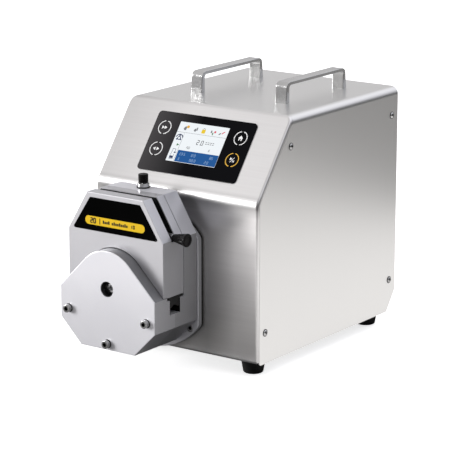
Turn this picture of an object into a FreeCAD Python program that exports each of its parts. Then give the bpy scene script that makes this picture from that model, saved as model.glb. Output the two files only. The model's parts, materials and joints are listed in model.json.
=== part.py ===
"""Industrial peristaltic pump: a brushed stainless drive with a sloped display and a clamshell tube head.

Frame: +Z up, the front faces -Y, +X is to the right of someone facing the front. The origin is under the
middle of the whole pump, on the surface that it stands on. Everything is drawn in a working frame, whose
zero is the middle of the housing's lower front edge, and export() moves it to the part's own frame.
"""

import FreeCAD, Part
import math
import os

from FreeCAD import Matrix, Vector

# ---- housing, mm ----
WIDTH, DEPTH, HEIGHT = 240.0, 310.0, 289.0
BEND_Z = 195.0          # height of the bend between the upright front and the sloped front
TOP_Y = 72.0            # how far back the slope meets the top
REAR_CUT_Y, REAR_CUT_Z = 17.5, 23.5  # bevel along the bottom rear edge
SHEET = 1.5             # stainless sheet
SIDE_BEND = 10.0        # outer radius between a side and the top
FRONT_BEND = 20.0       # outer radius of the bend between the upright front and the slope
TOP_BEND = 6.5          # outer radius of the bend between the slope and the top
EDGE_RADIUS = 3.0       # rounding of the front panel's side edges
SEAM_BACK = 4.5         # the cover starts this far behind the front panel's face
SEAM_GAP = 0.4
SKIRT = 2.5             # how far the cover hangs below the front panel
FLANGE = 22.0           # side flanges that the cover is screwed to
FOOT_HEIGHT, FOOT_TOP_R, FOOT_BOTTOM_R = 18.0, 15.5, 12.0
FOOT_X, FOOT_FRONT_Y, FOOT_REAR_Y = 98.0, 24.0, 276.0
COVER_SCREWS = ((17.0, 36.0), (69.0, 253.0), (296.0, 39.0), (296.0, 254.0))

# ---- carrying handles ----
HANDLE_X, HANDLE_FRONT, HANDLE_REAR = 63.5, 129.5, 264.0
HANDLE_WIDTH, HANDLE_HEIGHT, HANDLE_BAR, HANDLE_FOOT = 16.5, 26.0, 4.2, 7.2

# ---- display on the slope; x is across, s is up the slope from the bend ----
SLOPE_LENGTH = math.hypot(TOP_Y, HEIGHT - BEND_Z)
PANEL_X, PANEL_S, PANEL_W, PANEL_H, PANEL_T = 5.2, 61.7, 146.0, 80.5, 1.2
SCREEN_X, SCREEN_S, SCREEN_W, SCREEN_H = 5.4, 64.5, 73.0, 53.5
KEY_R, KEY_GAP = 9.6, 0.12
KEYS = {"key_forward": (-51.0, 80.2), "key_direction": (-51.0, 51.0),
        "key_home": (62.0, 80.2), "key_run": (62.0, 51.0)}

# ---- pump head; u and v are across and up from the rotor's axis ----
AXIS_X, AXIS_Z = -30.0, 90.5
HEAD_FRONT, BLOCK_FRONT, SLOT_MID = -95.0, -78.0, -56.0
BLOCK_REAR, REAR_FRONT, HEAD_REAR = -39.0, -38.0, -13.0
ADAPTER_FRONT, ADAPTER_REAR = -10.0, -3.0
ADAPTER_R, ADAPTER_CORNER, ADAPTER_BOLT_R = 89.5, 8.0, 82.7
HALF_WIDTH, SPLIT_V, SHOULDER_V, BASE_V = 71.0, -5.0, -9.0, -74.7
DOME_R = 46.6           # rounded top of the front plate
TOP_V, TOP_HALF, CHAMFER_V = 110.0, 42.0, 62.5
BODY_CUT = 30.5         # 45 degree cuts at the bottom corners
BED_R, CAVITY_R = 40.0, 40.5
CAVITY_FRONT, CAVITY_REAR = -71.0, -39.2
TUBE_SLOT_W, TUBE_SLOT_V = 20.0, -27.0
JAW_LOW, JAW_NOTCH = -19.0, -15.0
BODY_SCREWS = ((-58.3, -32.2), (58.3, -32.2), (0.0, -67.0))
SET_SCREWS_U, SET_SCREWS_Y = 35.5, -44.5

# ---- rotor ----
ROLLERS, ROLLER_R, ROLLER_PITCH = 3, 11.0, 23.0
ROLLER_FRONT, ROLLER_REAR = -66.4, -45.4
PIN_R, ROLLER_BORE_R = 3.0, 3.04
CAGE_T, CAGE_R = 3.6, 29.0
SHAFT_R, BEARING_R, BEARING_W = 7.5, 16.0, 9.0
FRONT_HOLE_R = 9.5

# ---- lever and its spiral cam ----
PIVOT_V, PIVOT_R = 72.0, 4.0
LEVER_SLOT, SLOT_FLOOR_V = (-61.8, -52.0), 60.6
LINER = 0.8             # black lining of the lever slot
LIFT, LEVER_REST, LEVER_SWING = 12.0, -5.24, 188.0
CAM_PIN_R, CAM_OUTER, CAM_CLEAR, CAM_PIN_END = 2.5, 20.5, 0.09, -30.6
CAM_PIN_V = PIVOT_V + CAM_OUTER
CAM_RIM, CAM_OVERRUN = 2.6, 9.0      # metal outside the groove, and degrees of it past each end
CAM_ROOM_R = CAM_OUTER + LIFT * CAM_OVERRUN / LEVER_SWING + CAM_PIN_R + CAM_RIM + LINER + 0.6
GRIP_START, GRIP_LENGTH, GRIP_TILT = 70.5, 21.5, -1.24
GRIP_SMALL_R, GRIP_BIG_R = 4.3, 8.5

# ---- rods that guide the pressure block ----
ROD_U, ROD_Y, ROD_R, ROD_LOW, ROD_HIGH = 56.0, -72.0, 4.0, -23.0, 45.0

# ---- locking plunger on top of the head ----
PLUNGER_Y = -23.0
KNOB_R, KNOB_LOW, KNOB_HIGH, KNOB_GROOVES = 6.0, 6.3, 16.7, 20
COLLAR_R, PLUNGER_PIN_R = 7.3, 2.5
LOCK_STUD_V, PLUNGER_BODY_V = 80.0, 98.0
PLUNGER_TIP_V = LOCK_STUD_V + 1.5

# ---- rear panel fittings ----
FAN_X, FAN_Z, FAN_SIZE = 60.0, 200.0, 60.0
INLET_X, INLET_Z = -70.0, 70.0
SWITCH_X, SWITCH_Z = -70.0, 120.0
SIGNAL_X, SIGNAL_Z = -10.0, 70.0
REAR_PROUD = 6.0        # how far the deepest rear fitting stands out

SCREW_HEAD = 6.0
OVERALL_DEPTH = SCREW_HEAD - HEAD_FRONT + DEPTH + REAR_PROUD
SHIFT = Vector(0, -OVERALL_DEPTH / 2 + SCREW_HEAD - HEAD_FRONT, FOOT_HEIGHT)
OVER = 1.0              # how far a cutting tool runs past what it cuts


# ---------------------------------------------------------------- helpers
def export(name, *shapes):
    """Writes one node, a group of separate solids, in the part's own frame."""
    solids = [s for shape in shapes for s in shape.Solids]
    group = Part.makeCompound(solids) if len(solids) > 1 else solids[0]
    moved = group.copy()
    moved.translate(SHIFT)
    if not moved.isValid():
        print("not valid:", name)
    moved.exportStep(os.path.join("parts", name + ".step"))


def block(x0, x1, y0, y1, z0, z1):
    return Part.makeBox(x1 - x0, y1 - y0, z1 - z0, Vector(x0, y0, z0))


def rod(start, end, radius, end_radius=None):
    """A cylinder, or a cone, between two points."""
    start, end = Vector(start), Vector(end)
    along = end - start
    if end_radius is None or abs(end_radius - radius) < 1e-9:
        return Part.makeCylinder(radius, along.Length, start, along)
    return Part.makeCone(radius, end_radius, along.Length, start, along)


def rounded_wire(corners, radii, place):
    """A closed outline of straight lines joined by tangent arcs; place puts a 2-D point in space."""
    if not hasattr(radii, "__len__"):
        radii = [radii] * len(corners)
    count, ends, edges = len(corners), [], []
    for i, r in enumerate(radii):
        p, before, after = (Vector(*corners[k % count], 0) for k in (i, i - 1, i + 1))
        a, b = (before - p).normalize(), (after - p).normalize()
        half = a.getAngle(b) / 2
        if r <= 0:
            ends.append((p, p, p))
            continue
        reach = r / math.tan(half)
        middle = p + (a + b).normalize() * (r / math.sin(half) - r)
        ends.append((p + a * reach, middle, p + b * reach))
    for i, (first, middle, last) in enumerate(ends):
        if (first - last).Length > 1e-6:
            edges.append(Part.Arc(*(Vector(*place(q.x, q.y)) for q in (first, middle, last))).toShape())
        following = ends[(i + 1) % count][0]
        if (following - last).Length > 1e-6:
            edges.append(Part.LineSegment(Vector(*place(last.x, last.y)),
                                          Vector(*place(following.x, following.y))).toShape())
    return Part.Wire(Part.__sortEdges__(edges))


def plate_y(corners, radii, y0, y1):
    """An outline in X and Z, extruded along Y."""
    wire = rounded_wire(corners, radii, lambda x, z: (x, y0, z))
    return Part.Face(wire).extrude(Vector(0, y1 - y0, 0))


def plate_x(corners, radii, x0, x1):
    """An outline in Y and Z, extruded along X."""
    wire = rounded_wire(corners, radii, lambda y, z: (x0, y, z))
    return Part.Face(wire).extrude(Vector(x1 - x0, 0, 0))


def plate_z(corners, radii, z0, z1):
    """An outline in X and Y, extruded along Z."""
    wire = rounded_wire(corners, radii, lambda x, y: (x, y, z0))
    return Part.Face(wire).extrude(Vector(0, 0, z1 - z0))


def rectangle(cx, cy, width, height):
    return [(cx - width / 2, cy - height / 2), (cx + width / 2, cy - height / 2),
            (cx + width / 2, cy + height / 2), (cx - width / 2, cy + height / 2)]


def head(u, y, v):
    """A point given from the rotor's axis."""
    return (AXIS_X + u, y, AXIS_Z + v)


def head_plate(corners, radii, y0, y1):
    """An outline given from the rotor's axis, extruded along Y."""
    return plate_y([(AXIS_X + u, AXIS_Z + v) for u, v in corners], radii, y0, y1)


def head_rod(u, v, radius, y0, y1, end_radius=None):
    return rod(head(u, y0, v), head(u, y1, v), radius, end_radius)


def mirrored(points):
    """Closes a right-hand outline, given from top to bottom, with its mirror image."""
    return points + [(-u, v) for u, v in reversed(points)]


def on_slope(shape):
    """Moves a shape drawn flat (X across, Y up the slope, Z outwards) onto the sloped front."""
    up_y, up_z = TOP_Y / SLOPE_LENGTH, (HEIGHT - BEND_Z) / SLOPE_LENGTH
    matrix = Matrix(1, 0, 0, 0,
                    0, up_y, -up_z, 0,
                    0, up_z, up_y, BEND_Z,
                    0, 0, 0, 1)
    return shape.transformGeometry(matrix)


def hexagon_socket(start, direction, across, depth):
    """The pocket of a hexagon socket, to cut from a screw head."""
    start, direction = Vector(start), Vector(direction)
    side = across / math.sqrt(3)
    turned = [Vector(side * math.cos(math.radians(60 * k)), side * math.sin(math.radians(60 * k)), 0)
              for k in range(7)]
    face = Part.Face(Part.makePolygon(turned))
    face.Placement = FreeCAD.Placement(start, FreeCAD.Rotation(Vector(0, 0, 1), direction))
    return face.extrude(Vector(direction).normalize() * depth)


def socket_screw(seat, direction, size, length, head_height=None):
    """A cap screw whose head stands on seat and whose shank runs along direction."""
    seat, direction = Vector(seat), Vector(direction).normalize()
    tall = size if head_height is None else head_height
    top = seat - direction * tall
    cap = rod(top, seat, size * 0.8)
    rim = [e for e in cap.Edges if e.Curve.TypeId == "Part::GeomCircle"
           and (e.Curve.Center - top).Length < 1e-6]
    cap = cap.makeFillet(size * 0.1, rim)
    cap = cap.cut(hexagon_socket(top - direction * OVER, direction, size * 0.83, tall * 0.6 + OVER))
    return cap.fuse(rod(seat, seat + direction * length, size / 2)).removeSplitter()


# ---------------------------------------------------------------- housing
def side_profile(inset):
    """The housing's side outline, moved inwards by inset."""
    slope_tilt = math.atan2(TOP_Y, HEIGHT - BEND_Z)
    cut_tilt = math.atan2(REAR_CUT_Z, REAR_CUT_Y)
    bend_drop = inset * math.tan(slope_tilt / 2)
    top_back = inset * math.tan((math.pi / 2 - slope_tilt) / 2)
    cut_low = inset * math.tan(cut_tilt / 2)
    cut_high = inset * math.tan((math.pi / 2 - cut_tilt) / 2)
    return [(inset, inset), (inset, BEND_Z - bend_drop), (TOP_Y + top_back, HEIGHT - inset),
            (DEPTH - inset, HEIGHT - inset), (DEPTH - inset, REAR_CUT_Z + cut_high),
            (DEPTH - REAR_CUT_Y - cut_low, inset)]


def housing_body(inset):
    """The housing's outer form, moved inwards by inset, with its bends."""
    radii = [max(4.0 - inset, 0.5), FRONT_BEND - inset, TOP_BEND - inset, 0, 0, 0]
    half = WIDTH / 2 - inset
    side = plate_x(side_profile(inset), radii, -half, half)
    corner = max(SIDE_BEND - inset, 1.0)
    front_view = plate_y(rectangle(0, HEIGHT / 2 - 5, 2 * half, HEIGHT + 10 - 2 * inset),
                         [0, 0, corner, corner], -OVER, DEPTH + OVER)
    return side.common(front_view)


def front_zone(back):
    """Everything less than back behind the front, the slope and the bend to the top."""
    profile = side_profile(back)
    far = 40.0
    return plate_x([(-far, -far), (back, -far), profile[1], profile[2], (profile[2][0], HEIGHT + far),
                    (-far, HEIGHT + far)], 0, -WIDTH, WIDTH)


def build_housing():
    outer = housing_body(0.0)
    front_edges = [e for e in outer.Edges
                   if abs(abs(e.CenterOfMass.x) - WIDTH / 2) < 1e-6 and e.CenterOfMass.y < TOP_Y
                   and e.BoundBox.YMax < TOP_Y + TOP_BEND and e.BoundBox.ZMax > 2.0
                   and e.BoundBox.ZMax < HEIGHT - SIDE_BEND + 1.0]
    outer = outer.makeFillet(EDGE_RADIUS, front_edges)
    shell = outer.cut(housing_body(SHEET))
    sheet = shell.common(front_zone(SEAM_BACK))
    lip_half = WIDTH / 2 - SHEET - 0.1
    lips = []
    for side in (-1, 1):
        strip = front_zone(FLANGE).cut(front_zone(SHEET)).common(housing_body(SHEET))
        lips.append(strip.common(block(*sorted((side * lip_half, side * (lip_half - SHEET))),
                                       0, DEPTH, SHEET, HEIGHT - SIDE_BEND)))
    sheet = sheet.fuse(lips).removeSplitter()
    shaft_hole = head_rod(0, 0, 31.0, -OVER, SHEET + OVER)
    window = on_slope(plate_z(rectangle(PANEL_X, PANEL_S, PANEL_W - 10, PANEL_H - 9), 3.0, -8.0, 3.0))
    sheet = sheet.cut([shaft_hole, window] + screw_holes() + adapter_holes())
    export("front_panel", sheet)

    inner = WIDTH / 2 - SHEET
    corner = SIDE_BEND - SHEET
    arch = plate_y(rectangle(0, HEIGHT / 2 - 10, WIDTH, HEIGHT + 20), [0, 0, SIDE_BEND, SIDE_BEND], 0, DEPTH)
    room = rectangle(0, HEIGHT / 2 - 10 - SHEET, 2 * inner, HEIGHT + 20)
    arch = arch.cut(plate_y(room, [0, 0, corner, corner], -OVER, DEPTH + OVER))
    seam = side_profile(SEAM_BACK + SEAM_GAP)
    front, rear_y = seam[0][0], DEPTH - REAR_CUT_Y
    side = plate_x([(front, -SKIRT), seam[1], seam[2], (seam[2][0], HEIGHT + OVER), (DEPTH, HEIGHT + OVER),
                    (DEPTH, REAR_CUT_Z), (rear_y, 0), (rear_y - SKIRT * REAR_CUT_Y / REAR_CUT_Z, -SKIRT)],
                   [3.5, 0, 0, 0, 0, 0, 0, 0], -WIDTH, WIDTH)
    cover = arch.common(side)
    cover = cover.removeSplitter()
    export("housing_cover", cover.cut(screw_holes() + handle_holes()))

    half = inner - SHEET - 0.3
    floor = block(-half, half, SEAM_BACK + 2, DEPTH - REAR_CUT_Y - 1.5, SHEET + 0.1, 2 * SHEET + 0.1)
    export("base_plate", floor.cut(foot_holes()))

    rear_top = HEIGHT - SHEET - 0.2
    rear = plate_x([(DEPTH - SHEET, REAR_CUT_Z + 0.8), (DEPTH, REAR_CUT_Z + 0.2), (DEPTH, rear_top),
                    (DEPTH - SHEET, rear_top)], 0, -inner + 0.1, inner - 0.1)
    bevel = plate_x([(DEPTH - REAR_CUT_Y, 0), (DEPTH, REAR_CUT_Z + 0.2), (DEPTH - SHEET, REAR_CUT_Z + 0.8),
                     (DEPTH - REAR_CUT_Y - 0.9, SHEET)], 0, -inner + 0.1, inner - 0.1)
    rear = rear.fuse(bevel)
    for side in (-1, 1):
        x0, x1 = sorted((side * (inner - 0.1), side * (inner - 0.1 - SHEET)))
        rear = rear.fuse(block(x0, x1, DEPTH - FLANGE, DEPTH - SHEET / 2, REAR_CUT_Z + 3, HEIGHT - SIDE_BEND))
    corner = SIDE_BEND - SHEET + 0.3
    inside = plate_y(rectangle(0, HEIGHT / 2 - 0.2 - SHEET, 2 * inner - 0.2, HEIGHT), [0, 0, corner, corner],
                     0, DEPTH + OVER)
    rear = rear.common(inside).removeSplitter()
    export("rear_panel", rear.cut(screw_holes() + rear_openings()))


def screw_holes():
    return [rod((-WIDTH / 2 - OVER, y, z), (WIDTH / 2 + OVER, y, z), 2.1) for y, z in COVER_SCREWS]


def build_cover_screws():
    """Low round-headed machine screws with a cross recess, four on each side."""
    screws = []
    for side in (-1, 1):
        face = side * WIDTH / 2
        for y, z in COVER_SCREWS:
            dome = Part.makeSphere(5.2, Vector(face - side * 2.9, y, z))
            dome = dome.common(rod((face, y, z), (face + side * 3, y, z), 3.9))
            slots = [block(*sorted((face + side * 1.2, face + side * 4)), y - w, y + w, z - h, z + h)
                     for w, h in ((0.45, 2.2), (2.2, 0.45))]
            shank = rod((face - side * 8, y, z), (face + side * 0.5, y, z), 2.0)
            screws.append(dome.cut(slots).fuse(shank).removeSplitter())
    export("cover_screws", *screws)


def foot_places():
    return [(sx * FOOT_X, y) for sx in (-1, 1) for y in (FOOT_FRONT_Y, FOOT_REAR_Y)]


def foot_holes():
    return [rod((x, y, -OVER), (x, y, 6), 2.6) for x, y in foot_places()]


def build_feet():
    feet, screws = [], []
    seat = SHEET + 0.1
    for x, y in foot_places():
        foot = rod((x, y, -FOOT_HEIGHT), (x, y, seat), FOOT_BOTTOM_R, FOOT_TOP_R)
        rim = [e for e in foot.Edges if abs(e.BoundBox.ZMax + FOOT_HEIGHT) < 1e-6]
        foot = foot.makeFillet(2.5, rim)
        foot = foot.cut([rod((x, y, -FOOT_HEIGHT - OVER), (x, y, -7), 6.0),
                         rod((x, y, -9), (x, y, seat + OVER), 2.6)])
        feet.append(foot)
        screws.append(rod((x, y, -10.4), (x, y, -7), 4.6).fuse(rod((x, y, -7.5), (x, y, 8), 2.5)))
    export("rubber_feet", *feet)
    export("foot_screws", *screws)


# ---------------------------------------------------------------- handles
def handle_holes():
    return [rod((sx * HANDLE_X, y, HEIGHT - 5), (sx * HANDLE_X, y, HEIGHT + OVER), 2.1)
            for sx in (-1, 1) for y in (HANDLE_FRONT + HANDLE_FOOT / 2, HANDLE_REAR - HANDLE_FOOT / 2)]


def build_handles():
    """Bent flat bars whose legs thicken towards the top plate."""
    slim = HANDLE_FOOT - HANDLE_BAR
    base, top = HEIGHT, HEIGHT + HANDLE_HEIGHT
    outline = [(HANDLE_FRONT, base), (HANDLE_FRONT + HANDLE_FOOT, base),
               (HANDLE_FRONT + HANDLE_FOOT, top - HANDLE_BAR), (HANDLE_REAR - HANDLE_FOOT, top - HANDLE_BAR),
               (HANDLE_REAR - HANDLE_FOOT, base), (HANDLE_REAR, base),
               (HANDLE_REAR - slim * 0.7, top), (HANDLE_FRONT + slim * 0.7, top)]
    radii = [0, 0, 4.0, 4.0, 0, 0, 7.5, 7.5]
    for name, sx in (("handle_left", -1), ("handle_right", 1)):
        middle = sx * HANDLE_X
        bar = plate_x(outline, radii, middle - HANDLE_WIDTH / 2, middle + HANDLE_WIDTH / 2)
        long_edges = [e for e in bar.Edges if e.BoundBox.ZMin > base - 0.1 and e.BoundBox.XLength < 1e-6
                      and e.BoundBox.ZMax > base + 1]
        bar = bar.makeFillet(0.7, long_edges)
        taps = [rod((middle, y, base - OVER), (middle, y, base + 12), 2.0)
                for y in (HANDLE_FRONT + HANDLE_FOOT / 2, HANDLE_REAR - HANDLE_FOOT / 2)]
        export(name, bar.cut(taps))
    screws = []
    for sx in (-1, 1):
        for y in (HANDLE_FRONT + HANDLE_FOOT / 2, HANDLE_REAR - HANDLE_FOOT / 2):
            x, under = sx * HANDLE_X, HEIGHT - SHEET
            cap = rod((x, y, under - 3), (x, y, under), 3.8)
            screws.append(cap.fuse(rod((x, y, under - 1), (x, y, base + 10), 1.98)))
    export("handle_screws", *screws)


# ---------------------------------------------------------------- display and keys
def build_display():
    key_holes = [rod((x, s, -5), (x, s, 5), KEY_R + KEY_GAP) for x, s in KEYS.values()]
    panel = plate_z(rectangle(PANEL_X, PANEL_S, PANEL_W, PANEL_H), 5.0, 0.0, PANEL_T)
    window = plate_z(rectangle(SCREEN_X, SCREEN_S, SCREEN_W, SCREEN_H), 0.6, -5.0, 5.0)
    export("display_overlay", on_slope(panel.cut(key_holes + [window])))

    glass = plate_z(rectangle(SCREEN_X, SCREEN_S, SCREEN_W - 0.2, SCREEN_H - 0.2), 0.5, -4.0, PANEL_T - 0.25)
    frame = plate_z(rectangle(SCREEN_X, SCREEN_S, SCREEN_W + 5, SCREEN_H + 7), 1.0, -4.0, -0.9)
    export("lcd_screen", on_slope(glass.fuse(frame).removeSplitter()))

    board = plate_z(rectangle(PANEL_X, PANEL_S, PANEL_W - 14, PANEL_H - 13), 2.0, -8.0, -6.4)
    domes = [rod((x, s, -6.4), (x, s, -3.2), 3.2, 2.2) for x, s in KEYS.values()]
    export("display_board", on_slope(board.fuse(domes).removeSplitter()))

    for name, (x, s) in KEYS.items():
        cap = rod((x, s, -1.4), (x, s, PANEL_T), KEY_R)
        stem = rod((x, s, -2.7), (x, s, -1.4), 2.5)
        export(name, on_slope(cap.fuse(stem).removeSplitter()))


# ---------------------------------------------------------------- inside the housing
def build_drive():
    """Motor, gearbox and bracket in line with the rotor, and the electronics beside them."""
    half, low, high = 67.0, 4.5, AXIS_Z + 67.0
    bracket = plate_y(rectangle(AXIS_X, (low + high) / 2, 2 * half, high - low), 6.0, SHEET + 0.1, 9.0)
    foot = block(AXIS_X - 55, AXIS_X + 55, 5.0, 60, low, 9.0)
    bracket = bracket.fuse(foot).cut([head_rod(0, 0, 26.0, 0, 12)] + adapter_holes())
    export("motor_bracket", bracket.removeSplitter())

    gearbox = head_rod(0, 0, 30.0, 9.1, 62.0).fuse(head_rod(0, 0, 25.9, 3.0, 9.1))
    export("gearbox", gearbox.cut(head_rod(0, 0, 9.6, 0, 40.0)).removeSplitter())

    half = 30.0
    export("drive_motor", plate_y(rectangle(AXIS_X, AXIS_Z, 2 * half, 2 * half), 5.0, 62.1, 170.0))

    case = block(28, 110, 80, 250, 3.2, 45)
    case = case.cut(block(31, 107, 83, 247, 10, 46)).fuse(block(40, 98, 95, 235, 9.9, 34))
    export("power_supply", case.removeSplitter())
    board = block(104.0, 105.6, 90, 260, 90, 220)
    chips = [block(98, 104, 110, 130, 110, 150), block(93, 104, 150, 190, 170, 200),
             block(100, 104, 160, 200, 105, 135)]
    chips += [rod((94, 220, z), (104, 220, z), 8) for z in (120, 150)]
    mounts = [block(105.6, 116.8, y - 4, y + 4, z - 4, z + 4) for y in (98, 252) for z in (98, 212)]
    export("control_board", board.fuse(chips + mounts).removeSplitter())


# ---------------------------------------------------------------- rear panel fittings
def rear_openings():
    past0, past1 = DEPTH - 30, DEPTH + OVER
    return [plate_y(rectangle(INLET_X, INLET_Z, 27.5, 20.5), 2.0, past0, past1),
            plate_y(rectangle(SWITCH_X, SWITCH_Z, 27.5, 19.5), 1.0, past0, past1),
            plate_y(rectangle(SIGNAL_X, SIGNAL_Z, 27.5, 11.5), 1.5, past0, past1),
            rod((FAN_X, past0, FAN_Z), (FAN_X, past1, FAN_Z), 28.0)] + \
           [rod((x, past0, z), (x, past1, z), 1.9) for x, z in rear_screw_places()]


def rear_screw_places():
    around_fan = [(FAN_X + sx * 25, FAN_Z + sz * 25) for sx in (-1, 1) for sz in (-1, 1)]
    beside_inlet = [(INLET_X + sx * 20, INLET_Z) for sx in (-1, 1)]
    beside_signal = [(SIGNAL_X + sx * 16.7, SIGNAL_Z) for sx in (-1, 1)]
    return around_fan + beside_inlet + beside_signal


def build_rear():
    inlet = plate_y(rectangle(INLET_X, INLET_Z, 50, 24), [6, 6, 6, 6], DEPTH, DEPTH + 3.0)
    inlet = inlet.fuse(plate_y(rectangle(INLET_X, INLET_Z, 27, 20), 2.0, DEPTH - 24, DEPTH + 0.1))
    recess = plate_y(rectangle(INLET_X, INLET_Z, 24, 16.4), [1.0, 1.0, 4.5, 4.5], DEPTH - 14, DEPTH + 4)
    inlet = inlet.cut([recess] + [rod((x, DEPTH - OVER, z), (x, DEPTH + 4, z), 1.9)
                                  for x, z in rear_screw_places()[4:6]])
    blades = []
    for dx, dz in ((-7, 0.6), (0, 3.6), (7, 0.6)):
        x, z = INLET_X + dx, INLET_Z + dz
        blades.append(block(x - 1, x + 1, DEPTH - 28, DEPTH - 2.5, z - 2, z + 2))
    export("mains_inlet", inlet.cut(blades).removeSplitter())
    export("inlet_blades", *blades)

    frame = plate_y(rectangle(SWITCH_X, SWITCH_Z, 31, 23), 1.5, DEPTH, DEPTH + 2.0)
    frame = frame.fuse(plate_y(rectangle(SWITCH_X, SWITCH_Z, 27, 19), 1.0, DEPTH - 16, DEPTH + 0.1))
    well = plate_y(rectangle(SWITCH_X, SWITCH_Z, 24, 15), 0.5, DEPTH - 12, DEPTH + 3)
    pin_y = DEPTH - 3.0
    axle_hole = rod((SWITCH_X - 13.4, pin_y, SWITCH_Z), (SWITCH_X + 13.4, pin_y, SWITCH_Z), 1.05)
    export("switch_frame", frame.cut([well, axle_hole]).removeSplitter())
    tilt = 8.0
    rocker = plate_x([(pin_y - 4, SWITCH_Z - 2.5), (pin_y - 4, SWITCH_Z + 2.5), (pin_y + 5.6, SWITCH_Z + 6.4),
                      (pin_y + 4.4, SWITCH_Z), (pin_y + 5.6, SWITCH_Z - 6.4)], [0.8, 0.8, 0.8, 18.0, 0.8],
                     SWITCH_X - 11.8, SWITCH_X + 11.8)
    rocker = rocker.fuse(rod((SWITCH_X - 13.2, pin_y, SWITCH_Z), (SWITCH_X + 13.2, pin_y, SWITCH_Z), 1.0))
    rocker.rotate(Vector(SWITCH_X, pin_y, SWITCH_Z), Vector(1, 0, 0), -tilt)
    export("power_rocker", rocker.removeSplitter())

    flange = plate_y(rectangle(SIGNAL_X, SIGNAL_Z, 39.0, 12.5), 1.5, DEPTH, DEPTH + 1.0)
    shell = plate_y(rectangle(SIGNAL_X, SIGNAL_Z, 25.0, 8.6), 2.0, DEPTH - 10, DEPTH + REAR_PROUD)
    hollow = plate_y(rectangle(SIGNAL_X, SIGNAL_Z, 23.6, 7.2), 1.5, DEPTH - 3, DEPTH + REAR_PROUD + OVER)
    port = flange.fuse(shell).cut([hollow] + [rod((x, DEPTH - OVER, z), (x, DEPTH + 2, z), 1.9)
                                              for x, z in rear_screw_places()[6:8]])
    core = plate_y(rectangle(SIGNAL_X, SIGNAL_Z, 23.2, 6.8), 1.3, DEPTH - 3, DEPTH + REAR_PROUD - 0.6)
    export("signal_connector", port.removeSplitter(), core)

    half = FAN_SIZE / 2
    fan_front, fan_rear = DEPTH - SHEET - 20.1, DEPTH - SHEET - 0.1
    body = plate_y(rectangle(FAN_X, FAN_Z, FAN_SIZE, FAN_SIZE), 4.0, fan_front, fan_rear)
    corner_holes = [rod((x, DEPTH - 40, z), (x, DEPTH, z), 1.9) for x, z in rear_screw_places()[:4]]
    tunnel = rod((FAN_X, DEPTH - 40, FAN_Z), (FAN_X, DEPTH, FAN_Z), half - 2.0)
    long = half - 1.5
    struts = [plate_y(rectangle(FAN_X, FAN_Z, width, height), 0, fan_front, fan_front + 2.5)
              for width, height in ((4, 2 * long), (2 * long, 4))]
    stator = rod((FAN_X, fan_front, FAN_Z), (FAN_X, fan_front + 4.5, FAN_Z), 11.0)
    axle = rod((FAN_X, fan_front, FAN_Z), (FAN_X, fan_front + 14.1, FAN_Z), 1.5)
    export("fan_frame", body.cut([tunnel] + corner_holes).fuse(struts + [stator, axle]).removeSplitter())

    hub_rear, hub_front = DEPTH - SHEET - 14.6, DEPTH - SHEET - 3.1
    hub = rod((FAN_X, hub_rear, FAN_Z), (FAN_X, hub_front, FAN_Z), 11.5)
    hub = hub.cut(rod((FAN_X, hub_rear - OVER, FAN_Z), (FAN_X, DEPTH - SHEET - 5.5, FAN_Z), 1.55))
    blades = []
    for k in range(7):
        blade = block(FAN_X + 10.5, FAN_X + half - 3.4, -0.7, 0.7, -5.0, 5.0)
        blade.rotate(Vector(FAN_X, 0, 0), Vector(1, 0, 0), 50)
        blade.translate(Vector(0, (hub_rear + hub_front) / 2, FAN_Z))
        blade.rotate(Vector(FAN_X, 0, FAN_Z), Vector(0, 1, 0), 360.0 * k / 7)
        blades.append(blade)
    export("fan_rotor", hub.fuse(blades).removeSplitter())

    rings = []
    y0, y1 = DEPTH + 0.6, DEPTH + 2.0
    for radius in (8.0, 14.0, 20.0, 26.0):
        ring = rod((FAN_X, y0, FAN_Z), (FAN_X, y1, FAN_Z), radius + 0.8)
        rings.append(ring.cut(rod((FAN_X, y0 - 1, FAN_Z), (FAN_X, y1 + 1, FAN_Z), radius - 0.8)))
    spokes = []
    for turn in (45, -45):
        spoke = plate_y(rectangle(FAN_X, FAN_Z, 72, 1.6), 0, DEPTH + 0.1, DEPTH + 1.3)
        spoke.rotate(Vector(FAN_X, 0, FAN_Z), Vector(0, 1, 0), turn)
        spokes.append(spoke)
    eyes = [rod((x, DEPTH + 0.1, z), (x, DEPTH + 1.3, z), 3.4) for x, z in rear_screw_places()[:4]]
    grille = rings[0].fuse(rings[1:] + spokes + eyes)
    grille = grille.cut([rod((x, DEPTH - 1, z), (x, DEPTH + 3, z), 1.9) for x, z in rear_screw_places()[:4]])
    export("fan_grille", grille.removeSplitter())

    screws = []
    for index, (x, z) in enumerate(rear_screw_places()):
        seat = DEPTH + (1.3 if index < 4 else 3.0 if index < 6 else 1.0)
        cap = rod((x, seat, z), (x, seat + 1.8, z), 3.0, 2.4)
        cap = cap.cut([block(x - w, x + w, seat + 0.9, seat + 3, z - h, z + h)
                       for w, h in ((0.35, 1.7), (1.7, 0.35))])
        screws.append(cap.fuse(rod((x, seat - 8, z), (x, seat + 0.2, z), 1.6)).removeSplitter())
    export("rear_screws", *screws)


# ---------------------------------------------------------------- pump head, fixed parts
def adapter_blank(inset, y0, y1):
    """A disc whose two sides are cut flush with the pump head."""
    half, far = HALF_WIDTH - inset, 2 * ADAPTER_R
    disc = head_rod(0, 0, ADAPTER_R - inset, y0, y1)
    blank = disc.common(head_plate([(-half, -far), (half, -far), (half, far), (-half, far)], 0, y0, y1))
    corners = [e for e in blank.Edges if e.BoundBox.XLength < 1e-6 and e.BoundBox.ZLength < 1e-6
               and abs(abs(e.CenterOfMass.x - AXIS_X) - half) < 1e-6]
    return blank.makeFillet(ADAPTER_CORNER, corners)


def adapter_screw_places():
    reach = ADAPTER_BOLT_R / math.sqrt(2)
    return [(su * reach, sv * reach) for su in (-1, 1) for sv in (-1, 1)]


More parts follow.
